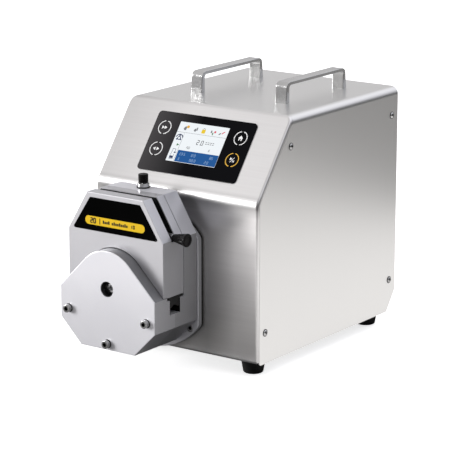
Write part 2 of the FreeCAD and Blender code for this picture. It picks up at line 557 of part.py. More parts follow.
def adapter_holes():
    return [head_rod(u, v, 2.55, -12, 12) for u, v in adapter_screw_places()]


def build_adapter():
    plate = adapter_blank(0.0, ADAPTER_FRONT, ADAPTER_REAR)
    rim = [e for e in plate.Edges if abs(e.BoundBox.YMax - ADAPTER_FRONT) < 1e-6]
    plate = plate.makeFillet(0.8, rim)
    spigot = head_rod(0, 0, 34.0, HEAD_REAR, ADAPTER_FRONT + 0.5)
    pockets = [head_rod(u, v, 4.4, -12, -5.0) for u, v in adapter_screw_places()]
    stud_hole = head_rod(0, LOCK_STUD_V, 5.0, -12, 0)
    plate = plate.fuse(spigot).cut([head_rod(0, 0, 24.0, -20, 0), stud_hole] + pockets + adapter_holes())
    export("adapter_plate", plate.removeSplitter())
    gasket = adapter_blank(0.3, ADAPTER_REAR, 0.0)
    gasket = gasket.cut([head_rod(0, 0, 32.0, -20, 1), head_rod(0, LOCK_STUD_V, 5.0, -12, 1)])
    export("adapter_gasket", gasket.cut(adapter_holes()))
    screws = [socket_screw(head(u, -5.0, v), (0, 1, 0), 5.0, 13.9, 4.4) for u, v in adapter_screw_places()]
    export("adapter_screws", *screws)
    stud = head_rod(0, LOCK_STUD_V, 6.0, -30.0, ADAPTER_FRONT)
    stud = stud.fuse(head_rod(0, LOCK_STUD_V, 4.95, ADAPTER_FRONT, -0.5))
    stud = stud.cut(rod(head(0, PLUNGER_Y, PLUNGER_TIP_V - 0.5), head(0, PLUNGER_Y, LOCK_STUD_V + 8),
                        PLUNGER_PIN_R + 0.06))
    export("lock_stud", stud.removeSplitter())


def lower_outline(top_v):
    """The body below the split, with its bottom corners cut at 45 degrees."""
    return mirrored([(HALF_WIDTH, top_v), (HALF_WIDTH, BASE_V + BODY_CUT), (HALF_WIDTH - BODY_CUT, BASE_V)])


def dome_solid(grow, low_v, y0, y1):
    """The front plate's upper part: a round top on two 45 degree sides, down to low_v."""
    half, reach = HALF_WIDTH + 0.01 * grow, (DOME_R + grow) * math.sqrt(2)
    corners = [(-half, low_v), (half, low_v), (half, reach - half), (0, reach), (-half, reach - half)]
    return head_plate(corners, [0, 0, 0, DOME_R + grow, 0], y0, y1)


def build_head_bodies():
    through_screws = [head_rod(u, v, 3.05, HEAD_FRONT - OVER, HEAD_REAR + OVER) for u, v in BODY_SCREWS]
    slots = [block(AXIS_X + u0, AXIS_X + u1, SLOT_MID - TUBE_SLOT_W / 2, SLOT_MID + TUBE_SLOT_W / 2,
                   AXIS_Z + TUBE_SLOT_V, AXIS_Z + 10) for u0, u1 in ((-80, -20), (20, 80))]
    cavity = head_rod(0, 0, CAVITY_R, CAVITY_FRONT, CAVITY_REAR)
    rods = [rod(head(u, y, ROD_LOW), head(u, y, 20), ROD_R + 0.02) for u, y in guide_rod_places()]

    plate = head_plate(lower_outline(SHOULDER_V), 0, HEAD_FRONT, CAVITY_FRONT)
    plate = plate.fuse(dome_solid(0.0, SHOULDER_V - 1, HEAD_FRONT, CAVITY_FRONT))
    front = plate.fuse(head_plate(lower_outline(SHOULDER_V), 0, CAVITY_FRONT, SLOT_MID)).removeSplitter()
    front = front.cut([cavity, head_rod(0, 0, BEARING_R, CAVITY_FRONT - BEARING_W, -60),
                       head_rod(0, 0, FRONT_HOLE_R, HEAD_FRONT - OVER, -60)] + slots + through_screws + rods)
    front = soften(front, HEAD_FRONT, 0.9)
    export("head_front_body", front)

    rear = head_plate(lower_outline(SHOULDER_V), 0, SLOT_MID, HEAD_REAR)
    upper = mirrored([(TOP_HALF, TOP_V), (HALF_WIDTH, CHAMFER_V), (HALF_WIDTH, SHOULDER_V - 1)])
    rear = rear.fuse(head_plate(upper, 0, REAR_FRONT, HEAD_REAR)).removeSplitter()
    above = head(0, PLUNGER_Y, TOP_V + OVER)
    plunger_room = [rod(head(0, PLUNGER_Y, LOCK_STUD_V), above, PLUNGER_PIN_R + 0.08),
                    rod(head(0, PLUNGER_Y, PLUNGER_BODY_V), above, 6.05)]
    axle_room = [head_rod(0, 0, BEARING_R, -40, -40 + BEARING_W + 0.8), head_rod(0, 0, 12.0, -60, 0),
                 head_rod(0, 0, 34.3, HEAD_REAR - 0.01, HEAD_REAR + 2)]
    pin_holes = [head_rod(0, LOCK_STUD_V, 6.2, -30.5, 0), head_rod(0, CAM_PIN_V, CAM_PIN_R, -60, CAM_PIN_END)]
    rear = rear.cut([cavity] + axle_room + plunger_room + pin_holes + slots + through_screws + rods)
    export("head_rear_body", rear)

    shank = HEAD_REAR - HEAD_FRONT - 2
    screws = [socket_screw(head(u, HEAD_FRONT, v), (0, 1, 0), SCREW_HEAD, shank) for u, v in BODY_SCREWS]
    export("head_body_screws", *screws)
    guides = [rod(head(u, y, ROD_LOW), head(u, y, ROD_HIGH), ROD_R) for u, y in guide_rod_places()]
    export("guide_rods", *guides)
    export("cam_pin", head_rod(0, CAM_PIN_V, CAM_PIN_R, cam_faces()[0] + 2.7, CAM_PIN_END))


def soften(solid, face_y, radius):
    """Rounds the outer rim of the flat face at face_y."""
    def reach(edge):
        box = edge.BoundBox
        return max(abs(box.XMax - AXIS_X), abs(box.XMin - AXIS_X), box.ZMax - AXIS_Z)

    rim = [e for e in solid.Edges if abs(e.BoundBox.YMax - face_y) < 1e-6 and reach(e) > 40]
    return solid.makeFillet(radius, rim)


def guide_rod_places():
    return [(-ROD_U, ROD_Y), (ROD_U, ROD_Y)]


# ---------------------------------------------------------------- pressure block
def build_pressure_block():
    outline = mirrored([(TOP_HALF, TOP_V), (HALF_WIDTH, CHAMFER_V), (HALF_WIDTH, SPLIT_V)])
    body = head_plate(outline, 0, BLOCK_FRONT, BLOCK_REAR)
    body = soften(body, BLOCK_FRONT, 0.9)
    bed = head_rod(0, 0, BED_R, BLOCK_FRONT, BLOCK_REAR + OVER)
    below = block(AXIS_X - BED_R, AXIS_X + BED_R, BLOCK_FRONT, BLOCK_REAR + OVER, AXIS_Z - 30, AXIS_Z)
    dome = dome_solid(0.8, -40, BLOCK_FRONT - OVER, CAVITY_FRONT + 0.4)
    y0, y1 = LEVER_SLOT
    lever_room = slot_room(SLOT_FLOOR_V, y0, y1)
    cam_room = head_rod(0, PIVOT_V, CAM_ROOM_R, y0, y1)
    side, high = CAM_PIN_R + 0.3, CAM_PIN_V + CAM_PIN_R + 0.5
    low = CAM_PIN_V - LIFT - CAM_PIN_R - 0.5
    path = [(-side, low), (side, low), (side, high), (-side, high)]
    travel = head_plate(path, 2.6, y1 - OVER, BLOCK_REAR + OVER)
    pivot = head_rod(0, PIVOT_V, PIVOT_R, BLOCK_FRONT + 4, BLOCK_REAR - 2)
    sockets = [rod(head(u, y, -20), head(u, y, ROD_HIGH + 3), ROD_R + 0.06) for u, y in guide_rod_places()]
    marks = [rod(head(u, SET_SCREWS_Y, TOP_V - 1.6), head(u, SET_SCREWS_Y, TOP_V + OVER), 1.6)
             for u in (-SET_SCREWS_U, SET_SCREWS_U)]
    body = body.cut([bed, below, dome, lever_room, cam_room, travel, pivot] + sockets + marks)
    export("pressure_block", body)
    export("lever_pivot", head_rod(0, PIVOT_V, PIVOT_R - 0.02, BLOCK_FRONT + 4.1, BLOCK_REAR - 2.1))

    edge = HALF_WIDTH - 1.7
    lining = head_plate(mirrored([(TOP_HALF - 0.7, TOP_V - 1.2), (edge, CHAMFER_V), (edge, 50)]), 0, y0, y1)
    lining = lining.common(lever_room.fuse(cam_room))
    hollow = slot_room(SLOT_FLOOR_V + LINER, y0 + LINER, y1 - LINER)
    lining = lining.cut([hollow, head_rod(0, PIVOT_V, CAM_ROOM_R - LINER, y0 + LINER, y1 - LINER), travel,
                         head_rod(0, PIVOT_V, PIVOT_R + 0.1, y0 - OVER, y1 + OVER)])
    export("slot_lining", lining.removeSplitter())

    label = [(-63.8, 63.6), (63.8, 63.6), (37.2, 104.0), (-37.2, 104.0)]
    export("block_label", head_plate(label, [2.0, 2.0, 2.0, 2.0], BLOCK_FRONT - 0.5, BLOCK_FRONT))
    export("tube_jaws", *[tube_jaw(side) for side in (-1, 1)])


def slot_room(floor_v, y0, y1):
    """The open-topped slot the lever swings in, right across the block."""
    return head_plate([(-90, floor_v), (90, floor_v), (90, 130), (-90, 130)], 0, y0, y1)


def tube_jaw(side):
    """A T-shaped plastic jaw under one side of the block, notched underneath to hold the tube."""
    u0, u1 = sorted((side * (BED_R + 2), side * (HALF_WIDTH - 0.6)))
    flange = block(AXIS_X + u0, AXIS_X + u1, CAVITY_FRONT + 3.5, BLOCK_REAR - 0.6,
                   AXIS_Z + SHOULDER_V + 0.6, AXIS_Z + SPLIT_V)
    y0, y1 = SLOT_MID - TUBE_SLOT_W / 2 + 0.7, SLOT_MID + TUBE_SLOT_W / 2 - 0.7
    low, high, notch = AXIS_Z + JAW_LOW, AXIS_Z + SHOULDER_V + 1, AXIS_Z + JAW_NOTCH
    outline = [(y0, high), (y0, low), (y0 + 2.0, low), (SLOT_MID, notch),
               (y1 - 2.0, low), (y1, low), (y1, high)]
    stem = plate_x(outline, [0, 0, 0, 3.0, 0, 0, 0], AXIS_X + u0, AXIS_X + u1)
    return flange.fuse(stem).removeSplitter()


# ---------------------------------------------------------------- lever
def spiral_radius(turned):
    """Distance from the pivot to the cam's groove, where turned degrees of the swing bring it to the pin."""
    return CAM_OUTER - LIFT * turned / LEVER_SWING


def spiral_edge(offset, first, last, y, steps=24):
    """A line at a square offset from the groove's middle line, drawn with the lever at rest."""
    points = []
    for k in range(steps + 1):
        turned = first + (last - first) * k / steps
        angle = math.radians(90.0 - turned)
        middle = spiral_radius(turned)
        radius = middle + offset * math.hypot(1.0, math.degrees(LIFT / LEVER_SWING) / middle)
        points.append(Vector(*head(radius * math.cos(angle), y, PIVOT_V + radius * math.sin(angle))))
    curve = Part.BSplineCurve()
    curve.interpolate(points)
    return curve.toShape(), points[0], points[-1]


def spiral_band(inner, outer, first, last, y0, y1):
    """The spiral strip between two offsets from the groove's middle line."""
    wall_in, a0, a1 = spiral_edge(inner, first, last, y0)
    wall_out, b0, b1 = spiral_edge(outer, first, last, y0)
    edges = [wall_in, Part.LineSegment(a1, b1).toShape(), wall_out, Part.LineSegment(b0, a0).toShape()]
    wire = Part.Wire(Part.__sortEdges__(edges))
    return Part.Face(wire).extrude(Vector(0, y1 - y0, 0))


def cam_faces():
    """Front and rear of the cam disc, a little inside the lined slot."""
    return LEVER_SLOT[0] + LINER + 0.2, LEVER_SLOT[1] - LINER - 0.2


def along_arm(distance, side=0.0):
    """A point of the lever arm at rest: this far from the pivot and this far above its middle line."""
    tilt = math.radians(LEVER_REST)
    return (distance * math.cos(tilt) - side * math.sin(tilt),
            PIVOT_V + distance * math.sin(tilt) + side * math.cos(tilt))


def build_lever():
    y0, y1 = cam_faces()
    groove_y = y0 + 2.2
    disc = spiral_band(-7.0, CAM_PIN_R + CAM_RIM, -CAM_OVERRUN, LEVER_SWING + CAM_OVERRUN, y0, y1)
    disc = disc.fuse(head_rod(0, PIVOT_V, 13.2, y0, y1))
    groove = spiral_band(-CAM_PIN_R - CAM_CLEAR, CAM_PIN_R + CAM_CLEAR, 0.0, LEVER_SWING, groove_y, y1 + OVER)
    ends = []
    for turned in (0.0, LEVER_SWING):
        angle, radius = math.radians(90.0 - turned), spiral_radius(turned)
        ends.append(head_rod(radius * math.cos(angle), PIVOT_V + radius * math.sin(angle),
                             CAM_PIN_R + CAM_CLEAR, groove_y, y1 + OVER))

    widths = ((0.0, 6.0), (30.0, 4.5), (GRIP_START, 3.3))
    lower, upper = ([along_arm(r, side * half) for r, half in widths] for side in (-1, 1))
    arm = head_plate(lower + upper[::-1], 0, y0 + 1.0, y1 - 1.0)
    mid_y, grip_tilt = sum(LEVER_SLOT) / 2, math.radians(GRIP_TILT)
    u, v = along_arm(GRIP_START)
    start = Vector(*head(u, mid_y, v))
    grip_way = Vector(math.cos(grip_tilt), 0, math.sin(grip_tilt))
    tang = rod(start - grip_way * 1.0, start + grip_way * (GRIP_LENGTH - 6.0), 2.5)
    pivot_hole = head_rod(0, PIVOT_V, PIVOT_R + 0.05, y0 - 1, y1 + 1)
    cam = disc.fuse([arm, tang]).cut([groove.fuse(ends), pivot_hole])
    export("lever_cam", cam.removeSplitter())

    end = start + grip_way * GRIP_LENGTH
    grip = rod(start, end, GRIP_SMALL_R, GRIP_BIG_R)
    rims = [e for e in grip.Edges if e.Curve.TypeId == "Part::GeomCircle"]
    grip = grip.makeFillet(1.8, [e for e in rims if (e.Curve.Center - end).Length < 0.1])
    export("lever_grip", grip.cut([tang, arm]))


# ---------------------------------------------------------------- locking plunger
def plunger_rod(low, high, radius):
    """A round piece on the plunger's axis, between two heights above the rotor's axis."""
    return rod(head(0, PLUNGER_Y, low), head(0, PLUNGER_Y, high), radius)


def build_plunger():
    top, body = TOP_V, PLUNGER_BODY_V
    sleeve = plunger_rod(top, top + 5.5, COLLAR_R)
    rim = [e for e in sleeve.Edges if e.BoundBox.ZMax > AXIS_Z + top + 5.4 and e.BoundBox.ZLength < 1e-6]
    sleeve = sleeve.makeFillet(0.8, rim).fuse(plunger_rod(body + 0.1, top, 6.0))
    sleeve = sleeve.cut([plunger_rod(body - OVER, top + 9, PLUNGER_PIN_R + 0.06),
                         plunger_rod(body + 2, top + 2, 4.6)])
    export("plunger_sleeve", sleeve.removeSplitter())

    knob = plunger_rod(top + KNOB_LOW, top + KNOB_HIGH, KNOB_R)
    knob = knob.makeFillet(0.9, [e for e in knob.Edges if e.BoundBox.ZLength < 1e-6])
    cuts = [plunger_rod(top + 5, top + 14, PLUNGER_PIN_R)]
    for k in range(KNOB_GROOVES):
        angle = 2 * math.pi * k / KNOB_GROOVES
        u, y = (KNOB_R + 0.25) * math.cos(angle), PLUNGER_Y + (KNOB_R + 0.25) * math.sin(angle)
        cuts.append(rod(head(u, y, top + KNOB_LOW + 1.2), head(u, y, top + KNOB_HIGH - 1.2), 0.55))
    export("plunger_knob", knob.cut(cuts))
    pin = plunger_rod(PLUNGER_TIP_V, top + 14, PLUNGER_PIN_R)
    export("plunger_pin", pin.fuse(plunger_rod(body + 2.4, body + 4.0, 4.3)).removeSplitter())

    low, high, turns = AXIS_Z + body + 4.6, AXIS_Z + top + 1.4, 5
    helix = Part.makeHelix((high - low) / turns, high - low, 3.6)
    helix.translate(Vector(AXIS_X, PLUNGER_Y, low))
    section = Part.Wire(Part.makeCircle(0.35, Vector(AXIS_X + 3.6, PLUNGER_Y, low), Vector(0, 1, 0)))
    export("plunger_spring", Part.Wire(helix).makePipeShell([section], True, True))


# ---------------------------------------------------------------- rotor
def roller_centres():
    return [(ROLLER_PITCH * math.cos(math.radians(a)), ROLLER_PITCH * math.sin(math.radians(a)))
            for a in (270 + 360 / ROLLERS * k for k in range(ROLLERS))]


def build_rotor():
    front0, front1 = ROLLER_FRONT - 0.3 - CAGE_T, ROLLER_FRONT - 0.3
    rear0, rear1 = ROLLER_REAR + 0.3, ROLLER_REAR + 0.3 + CAGE_T
    pin_holes = [head_rod(u, v, PIN_R, -80, -30) for u, v in roller_centres()]
    scallops = [head_rod(-u * 1.6, -v * 1.6, 15.0, -80, -30) for u, v in roller_centres()]
    shaft_hole = head_rod(0, 0, SHAFT_R, -90, -20)
    export("cage_plates", *[head_rod(0, 0, CAGE_R, y0, y1).cut(scallops + pin_holes + [shaft_hole])
                            for y0, y1 in ((front0, front1), (rear0, rear1))])
    export("roller_pins", *[head_rod(u, v, PIN_R, front0, rear1) for u, v in roller_centres()])
    for k, (u, v) in enumerate(roller_centres(), start=1):
        roller = head_rod(u, v, ROLLER_R, ROLLER_FRONT, ROLLER_REAR)
        roller = roller.makeFillet(1.0, [e for e in roller.Edges if e.BoundBox.YLength < 1e-6])
        export(f"roller_{k}", roller.cut(head_rod(u, v, ROLLER_BORE_R, -80, -30)))

    shaft = head_rod(0, 0, SHAFT_R, CAVITY_FRONT - BEARING_W - 2.5, 8.0)
    shaft = shaft.fuse([head_rod(0, 0, 10.5, front1, rear0)])
    tip = head_rod(0, 0, 5.5, CAVITY_FRONT - BEARING_W - 6.5, CAVITY_FRONT - BEARING_W - 2.5)
    shaft = shaft.fuse(tip).cut(hexagon_socket(head(0, CAVITY_FRONT - BEARING_W - 8, 0), (0, 1, 0), 6.0, 6.0))
    export("rotor_shaft", shaft.removeSplitter())
    export("gearbox_shaft", head_rod(0, 0, 9.54, 8.1, 39.5))
    bearings = []
    for y0, y1 in ((CAVITY_FRONT - BEARING_W, CAVITY_FRONT), (-40.0 + 0.8, -40.0 + 0.8 + BEARING_W)):
        ring = head_rod(0, 0, BEARING_R, y0, y1).cut(head_rod(0, 0, 13.0, y0 - 1, y1 + 1))
        core = head_rod(0, 0, 10.2, y0, y1).cut(head_rod(0, 0, SHAFT_R, y0 - 1, y1 + 1))
        bearings.append((ring, core))
    export("bearing_outer_rings", *[b[0] for b in bearings])
    export("bearing_inner_rings", *[b[1] for b in bearings])


def main():
    os.makedirs("parts", exist_ok=True)
    build_housing()
    build_cover_screws()
    build_feet()
    build_handles()
    build_display()
    build_drive()
    build_rear()
    build_adapter()
    build_head_bodies()
    build_pressure_block()
    build_lever()
    build_plunger()
    build_rotor()


main()
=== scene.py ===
"""Looks of the industrial peristaltic pump: materials, printed artwork, small fittings, light and camera.

The CAD nodes keep their shapes and get procedural materials, some with painted light and shade. What CAD
leaves plain is made here in mesh code: the display's picture and key symbols, the label's bar, the lever's
fluted grip, the plunger's spring and seal, and dark rings of painted shade round the screws and in the head's
front hole.
Lengths named below are in millimetres, in the CAD model's working frame, and at() turns them to metres.
Those that a material uses are in metres in the row frame, as their comments say.
"""
import json
import math

import bmesh
import bpy
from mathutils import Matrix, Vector


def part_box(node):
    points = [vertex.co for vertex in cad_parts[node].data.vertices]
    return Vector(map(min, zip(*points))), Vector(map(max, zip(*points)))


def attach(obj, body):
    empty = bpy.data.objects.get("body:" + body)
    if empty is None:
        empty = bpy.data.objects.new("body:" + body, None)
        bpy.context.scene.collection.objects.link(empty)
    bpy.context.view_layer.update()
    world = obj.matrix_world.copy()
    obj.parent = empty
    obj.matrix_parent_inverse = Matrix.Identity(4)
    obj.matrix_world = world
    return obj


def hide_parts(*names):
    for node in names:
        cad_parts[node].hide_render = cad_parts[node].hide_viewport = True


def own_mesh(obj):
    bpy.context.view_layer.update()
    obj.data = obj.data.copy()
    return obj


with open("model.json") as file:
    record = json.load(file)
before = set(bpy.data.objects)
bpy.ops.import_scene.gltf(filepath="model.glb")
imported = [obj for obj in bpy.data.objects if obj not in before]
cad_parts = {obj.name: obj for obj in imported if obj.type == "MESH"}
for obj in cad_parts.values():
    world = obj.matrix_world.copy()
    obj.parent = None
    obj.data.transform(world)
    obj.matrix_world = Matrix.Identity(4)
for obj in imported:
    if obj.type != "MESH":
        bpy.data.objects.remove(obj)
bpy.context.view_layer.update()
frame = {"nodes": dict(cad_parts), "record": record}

MM = 0.001
CASE_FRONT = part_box("front_panel")[0][1]
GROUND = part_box("rubber_feet")[0][2]
FOOT_HEIGHT = 18.0
BEND_Z, TOP_Y, TOP_Z = 195.0, 72.0, 289.0
SLOPE_LENGTH = math.hypot(TOP_Y, TOP_Z - BEND_Z)
OVERLAY_T, SCREEN_RISE = 1.2, 0.95      # surfaces of the overlay and the glass above the slope
INK, INK_GAP, SCREEN_INK = 0.05, 0.005, 0.03
AXIS_X, AXIS_Z = -30.0, 90.5            # the rotor's axis; u and v are counted from it
BLOCK_FRONT, LABEL_T = -78.0, 0.5
HEAD_FRONT, HEAD_TOP_V = -95.0, 110.0
SHOULDER_V, DOME_R, POCKET_BACK = -9.0, 46.6, -70.5
SIDE_REACH, SIDE_TOP_V, BEVEL_LOW_V = 40.0, 63.0, 62.0
TUBE_SLOT_WALLS, TUBE_SLOT_V, TUBE_SLOT_START = (-66.0, -46.0), -27.0, 20.0

BODY_SCREWS, BODY_SCREW_R = ((-58.3, -32.2), (58.3, -32.2), (0.0, -67.0)), 4.8
SOCKET_R, BODY_SOCKET, ADAPTER_SOCKET = 3.0, (-100.95, -97.3), (-9.35, -6.7)
ADAPTER_SCREW_REACH = 58.5
HOUSING_HALF, COVER_SCREW_R, CROSS_R = 120.0, 3.9, 2.4
COVER_SCREWS = ((17.0, 36.0), (69.0, 253.0), (296.0, 39.0), (296.0, 254.0))
CROSS_FLOOR = (1.1, 1.25)               # how far out of the housing the floor of a screw's cross lies
# width and thickness of the dark rings that paint shade round the screw heads, and how loosely a ring fits
SHADE_RING_WIDTH, SHADE_RING_T, FIT = 0.65, 0.25, 0.05
# radii and depth of the dark ring that paints shade inside the head's front hole
HOLE_SHADE_OUTER, HOLE_SHADE_INNER, HOLE_SHADE_Y = 9.4, 8.9, (-94.0, -80.6)

PLUNGER_Y, COLLAR_R, SEAL_WIDTH, SEAL_RISE = -23.0, 7.3, 0.6, (0.02, 1.5)
SPRING_R, WIRE_R, SPRING_TURNS, SPRING_V = 3.6, 0.35, 5, (102.6, 111.4)
GRIP_PLACE, GRIP_TILT = (70.2, -56.9, 65.56), -1.24
GRIP_FLUTES, FLUTE_DEPTH = 12, 0.11
# distance along the grip, radius, and how much of the flutes' depth is there
GRIP_PROFILE = ((0.0, 0.1, 0), (0.0, 3.9, 0), (0.5, 4.3, 0), (1.8, 4.6, 0), (4.0, 5.0, 1), (16.5, 7.4, 1),
                (18.6, 7.9, 0.4), (19.8, 8.1, 0), (20.7, 7.9, 0), (21.3, 7.3, 0), (21.5, 6.6, 0),
                (21.5, 5.0, 0), (20.6, 4.6, 0), (20.6, 0.1, 0))

KEYS = {"key_forward": (-51.0, 80.2), "key_direction": (-51.0, 51.0),
        "key_home": (62.0, 80.2), "key_run": (62.0, 51.0)}
KEY_RING = (8.25, 9.3)
SCREEN_X, SCREEN_S, SCREEN_W, SCREEN_H = 5.4, 64.5, 73.0, 53.5
LABEL_BAR_V, LABEL_BAR_W, LABEL_BAR_H = 76.0, 89.0, 10.4

# heights above the ground in metres, between which the front's lower part turns rougher
WORN_HEIGHTS = (0.155, 0.205)
# height above the ground in metres, and the painted light and shade on the front's steel there
FRONT_PAINTED_TONES = ((0.018, 0.66), (0.09, 0.86), (0.13, 1.0), (0.165, 1.0), (0.195, 0.90), (0.207, 0.50),
               (0.214, 0.52), (0.222, 0.80))
# painted shade makes the front darker at its left: where its edge is and where this ends, in metres, and the
# tone at the edge
FRONT_LEFT_SHADE = (-0.122, -0.02, 0.80)
# painted shade makes the front darker beside the head: how far from its axis this is full and where it ends,
# the tone, and the heights where it is full and where it ends; all but the tone are in metres
HEAD_SHADE = (0.078, 0.118, 0.60, 0.200, 0.213)

# lighter and darker colour, roughness, metallic, and grain per metre
SATIN_METALS = {
    "zinc_steel": ((0.66, 0.67, 0.68), (0.54, 0.55, 0.57), 0.36, 1.0, 900.0),
    "polished_steel": ((0.62, 0.62, 0.62), (0.50, 0.50, 0.50), 0.15, 1.0, 400.0),
    "screw_steel": ((0.56, 0.56, 0.56), (0.34, 0.34, 0.34), 0.19, 1.0, 900.0),
    "shaft_steel": ((0.60, 0.60, 0.61), (0.50, 0.50, 0.52), 0.24, 1.0, 900.0),
    "roller_steel": ((0.76, 0.76, 0.77), (0.68, 0.68, 0.69), 0.18, 1.0, 900.0),
    "lever_steel": ((0.66, 0.66, 0.67), (0.55, 0.55, 0.56), 0.28, 1.0, 900.0),
    "brass": ((0.80, 0.62, 0.30), (0.70, 0.52, 0.22), 0.25, 1.0, 900.0),
    "head_aluminium": ((0.76, 0.755, 0.79), (0.72, 0.715, 0.755), 0.38, 0.45, 1600.0),
    # copies of head_aluminium with painted shade, and for the upper bevels painted light
    "shaded_block_aluminium": ((0.53, 0.525, 0.55), (0.50, 0.495, 0.52), 0.36, 0.5, 1600.0),
    "lit_bevel_aluminium": ((0.80, 0.80, 0.85), (0.76, 0.76, 0.81), 0.36, 0.5, 1600.0),
    "shaded_side_aluminium": ((0.45, 0.45, 0.47), (0.41, 0.41, 0.43), 0.36, 0.5, 1600.0),
    "shaded_rear_aluminium": ((0.37, 0.37, 0.385), (0.33, 0.33, 0.345), 0.36, 0.5, 1600.0),
    "shaded_rim_aluminium": ((0.31, 0.31, 0.325), (0.27, 0.27, 0.285), 0.36, 0.5, 1600.0)}
# lighter and darker colour, roughness, grain per metre, bump and shine
MOULDINGS = {
    "rubber_black": ((0.008, 0.008, 0.008), (0.004, 0.004, 0.004), 0.6, 1400.0, 0.25, 0.25),
    "plastic_black": ((0.007, 0.007, 0.008), (0.004, 0.004, 0.004), 0.42, 1400.0, 0.25, 0.25),
    "knob_black": ((0.006, 0.005, 0.005), (0.003, 0.003, 0.003), 0.26, 900.0, 0.2, 0.13),
    # black that stands for painted shade in sockets, tube slots and the pocket round the dome
    "shade_black": ((0.006, 0.006, 0.006), (0.003, 0.003, 0.003), 0.6, 1400.0, 0.25, 0.1),
    "label_film": ((0.003, 0.003, 0.003), (0.002, 0.002, 0.002), 0.4, 700.0, 0.01, 0.0),
    "board_green": ((0.02, 0.16, 0.06), (0.015, 0.11, 0.04), 0.4, 1400.0, 0.25, 0.4),
    "motor_black": ((0.03, 0.03, 0.032), (0.02, 0.02, 0.02), 0.4, 1400.0, 0.25, 0.4)}
PRINTED_INKS = {"ink_white": (0.86, 0.86, 0.86), "ink_amber": (0.80, 0.47, 0.07),
                "ink_yellow": (0.93, 0.60, 0.02), "ink_black": (0.02, 0.018, 0.015)}
# colour and strength of the lit parts of the display's picture
SCREEN_COLOURS = {"screen_blue": ((0.015, 0.10, 0.32), 0.9), "screen_pale": ((0.30, 0.45, 0.68), 0.9),
                  "screen_dark": ((0.05, 0.05, 0.06), 0.5), "screen_grey": ((0.26, 0.27, 0.29), 0.7),
                  "screen_green": ((0.05, 0.22, 0.07), 0.8), "screen_red": ((0.72, 0.10, 0.14), 0.9),
                  "screen_amber": ((0.80, 0.42, 0.05), 0.9), "screen_yellow": ((0.85, 0.60, 0.04), 0.9),
                  "screen_navy": ((0.03, 0.05, 0.14), 0.7)}

CAMERA_AIM, CAMERA_DISTANCE = (-34.12, 150.0, 118.51), 2861.0
CAMERA_AZIMUTH, CAMERA_ELEVATION = 35.64, 14.03
LENS, SENSOR = 181.2, 36.0

FLOOR_SIZE, FLOOR_GLOW, FLOOR_BOUNCE = 24000.0, 0.7, 0.10
KEY_TOWARDS, KEY_WIDTH, KEY_STRENGTH = (-0.84, -0.60, 0.24), 26.0, 3.3
BACKDROP = (1.0, 1.0, 1.0)
SKY_DIM = (0.04, 0.04, 0.043)
# direction, where its spread starts and is full, and colour of each bright part of the sky
SKY_PARTS = (((-0.66, -0.07, 0.75), (-0.40, 0.95), (0.80, 0.79, 0.79)),
             ((0.36, 0.60, 0.71), (0.72, 0.98), (0.85, 0.87, 0.94)),
             ((-0.60, 0.76, 0.25), (0.78, 0.98), (0.13, 0.13, 0.135)),
             ((0.77, -0.27, 0.57), (0.86, 0.98), (0.70, 0.71, 0.75)))
# name, centre, width, depth and brightness of each card on the floor
CARDS = (("card_front", (-600.0, -215.0, 1.0), 1600.0, 350.0, 0.26),
         ("card_front_far", (-1150.0, -690.0, 1.0), 2900.0, 600.0, 1.6),
         ("card_right", (600.0, 330.0, 1.0), 940.0, 1000.0, 1.10),
         ("card_corner", (520.0, -300.0, 1.0), 700.0, 240.0, 0.9),
         ("card_far", (1500.0, 1730.0, 0.5), 2600.0, 2600.0, 0.36))


# ---------------------------------------------------------------- places
def at(x, y, z):
    """A point of the working frame, in metres in the row frame."""
    return Vector((x * MM, CASE_FRONT + y * MM, GROUND + (z + FOOT_HEIGHT) * MM))


def on_slope(x, s, rise):
    """A point of the sloped front: x across, s up the slope from the bend, rise out of its surface."""
    up_y, up_z = TOP_Y / SLOPE_LENGTH, (TOP_Z - BEND_Z) / SLOPE_LENGTH
    return at(x, s * up_y - rise * up_z, BEND_Z + s * up_z + rise * up_y)


def on_label(u, v, rise):
    """A point of the pressure block's label: u and v from the rotor's axis, rise out of its surface."""
    return at(AXIS_X + u, BLOCK_FRONT - LABEL_T - rise, AXIS_Z + v)


# ---------------------------------------------------------------- node helpers
def new_material(name):
    material = bpy.data.materials.new(name)
    material.use_nodes = True
    tree = material.node_tree
    return material, tree, tree.nodes["Principled BSDF"]


def add(tree, kind, **settings):
    node = tree.nodes.new(kind)
    for key, value in settings.items():
        setattr(node, key, value)
    return node


def place_coordinates(tree, scale):
    """The row frame's coordinates in metres, stretched by scale."""
    source = add(tree, "ShaderNodeTexCoord")
    mapping = add(tree, "ShaderNodeMapping")
    mapping.inputs["Scale"].default_value = scale
    tree.links.new(source.outputs["Object"], mapping.inputs["Vector"])
    return mapping.outputs["Vector"]


def place_axes(tree):
    """The X, Y and Z outputs of the row frame's coordinates in metres."""
    split = add(tree, "ShaderNodeSeparateXYZ")
    tree.links.new(place_coordinates(tree, (1.0, 1.0, 1.0)), split.inputs["Vector"])
    return split.outputs


def combined(tree, operation, first, second):
    """The output of a maths node, where second is a number or another output."""
    node = add(tree, "ShaderNodeMath", operation=operation)
    tree.links.new(first, node.inputs[0])
    if isinstance(second, float):
        node.inputs[1].default_value = second
    else:
        tree.links.new(second, node.inputs[1])
    return node.outputs[0]


def noise(tree, scale, detail=3.0, rough=0.55):
    """Noise over the piece, where scale is per metre along X, Y and Z."""
    texture = add(tree, "ShaderNodeTexNoise")
    texture.inputs["Scale"].default_value = 1.0
    texture.inputs["Detail"].default_value = detail
    texture.inputs["Roughness"].default_value = rough
    tree.links.new(place_coordinates(tree, scale), texture.inputs["Vector"])
    return texture.outputs["Fac"]


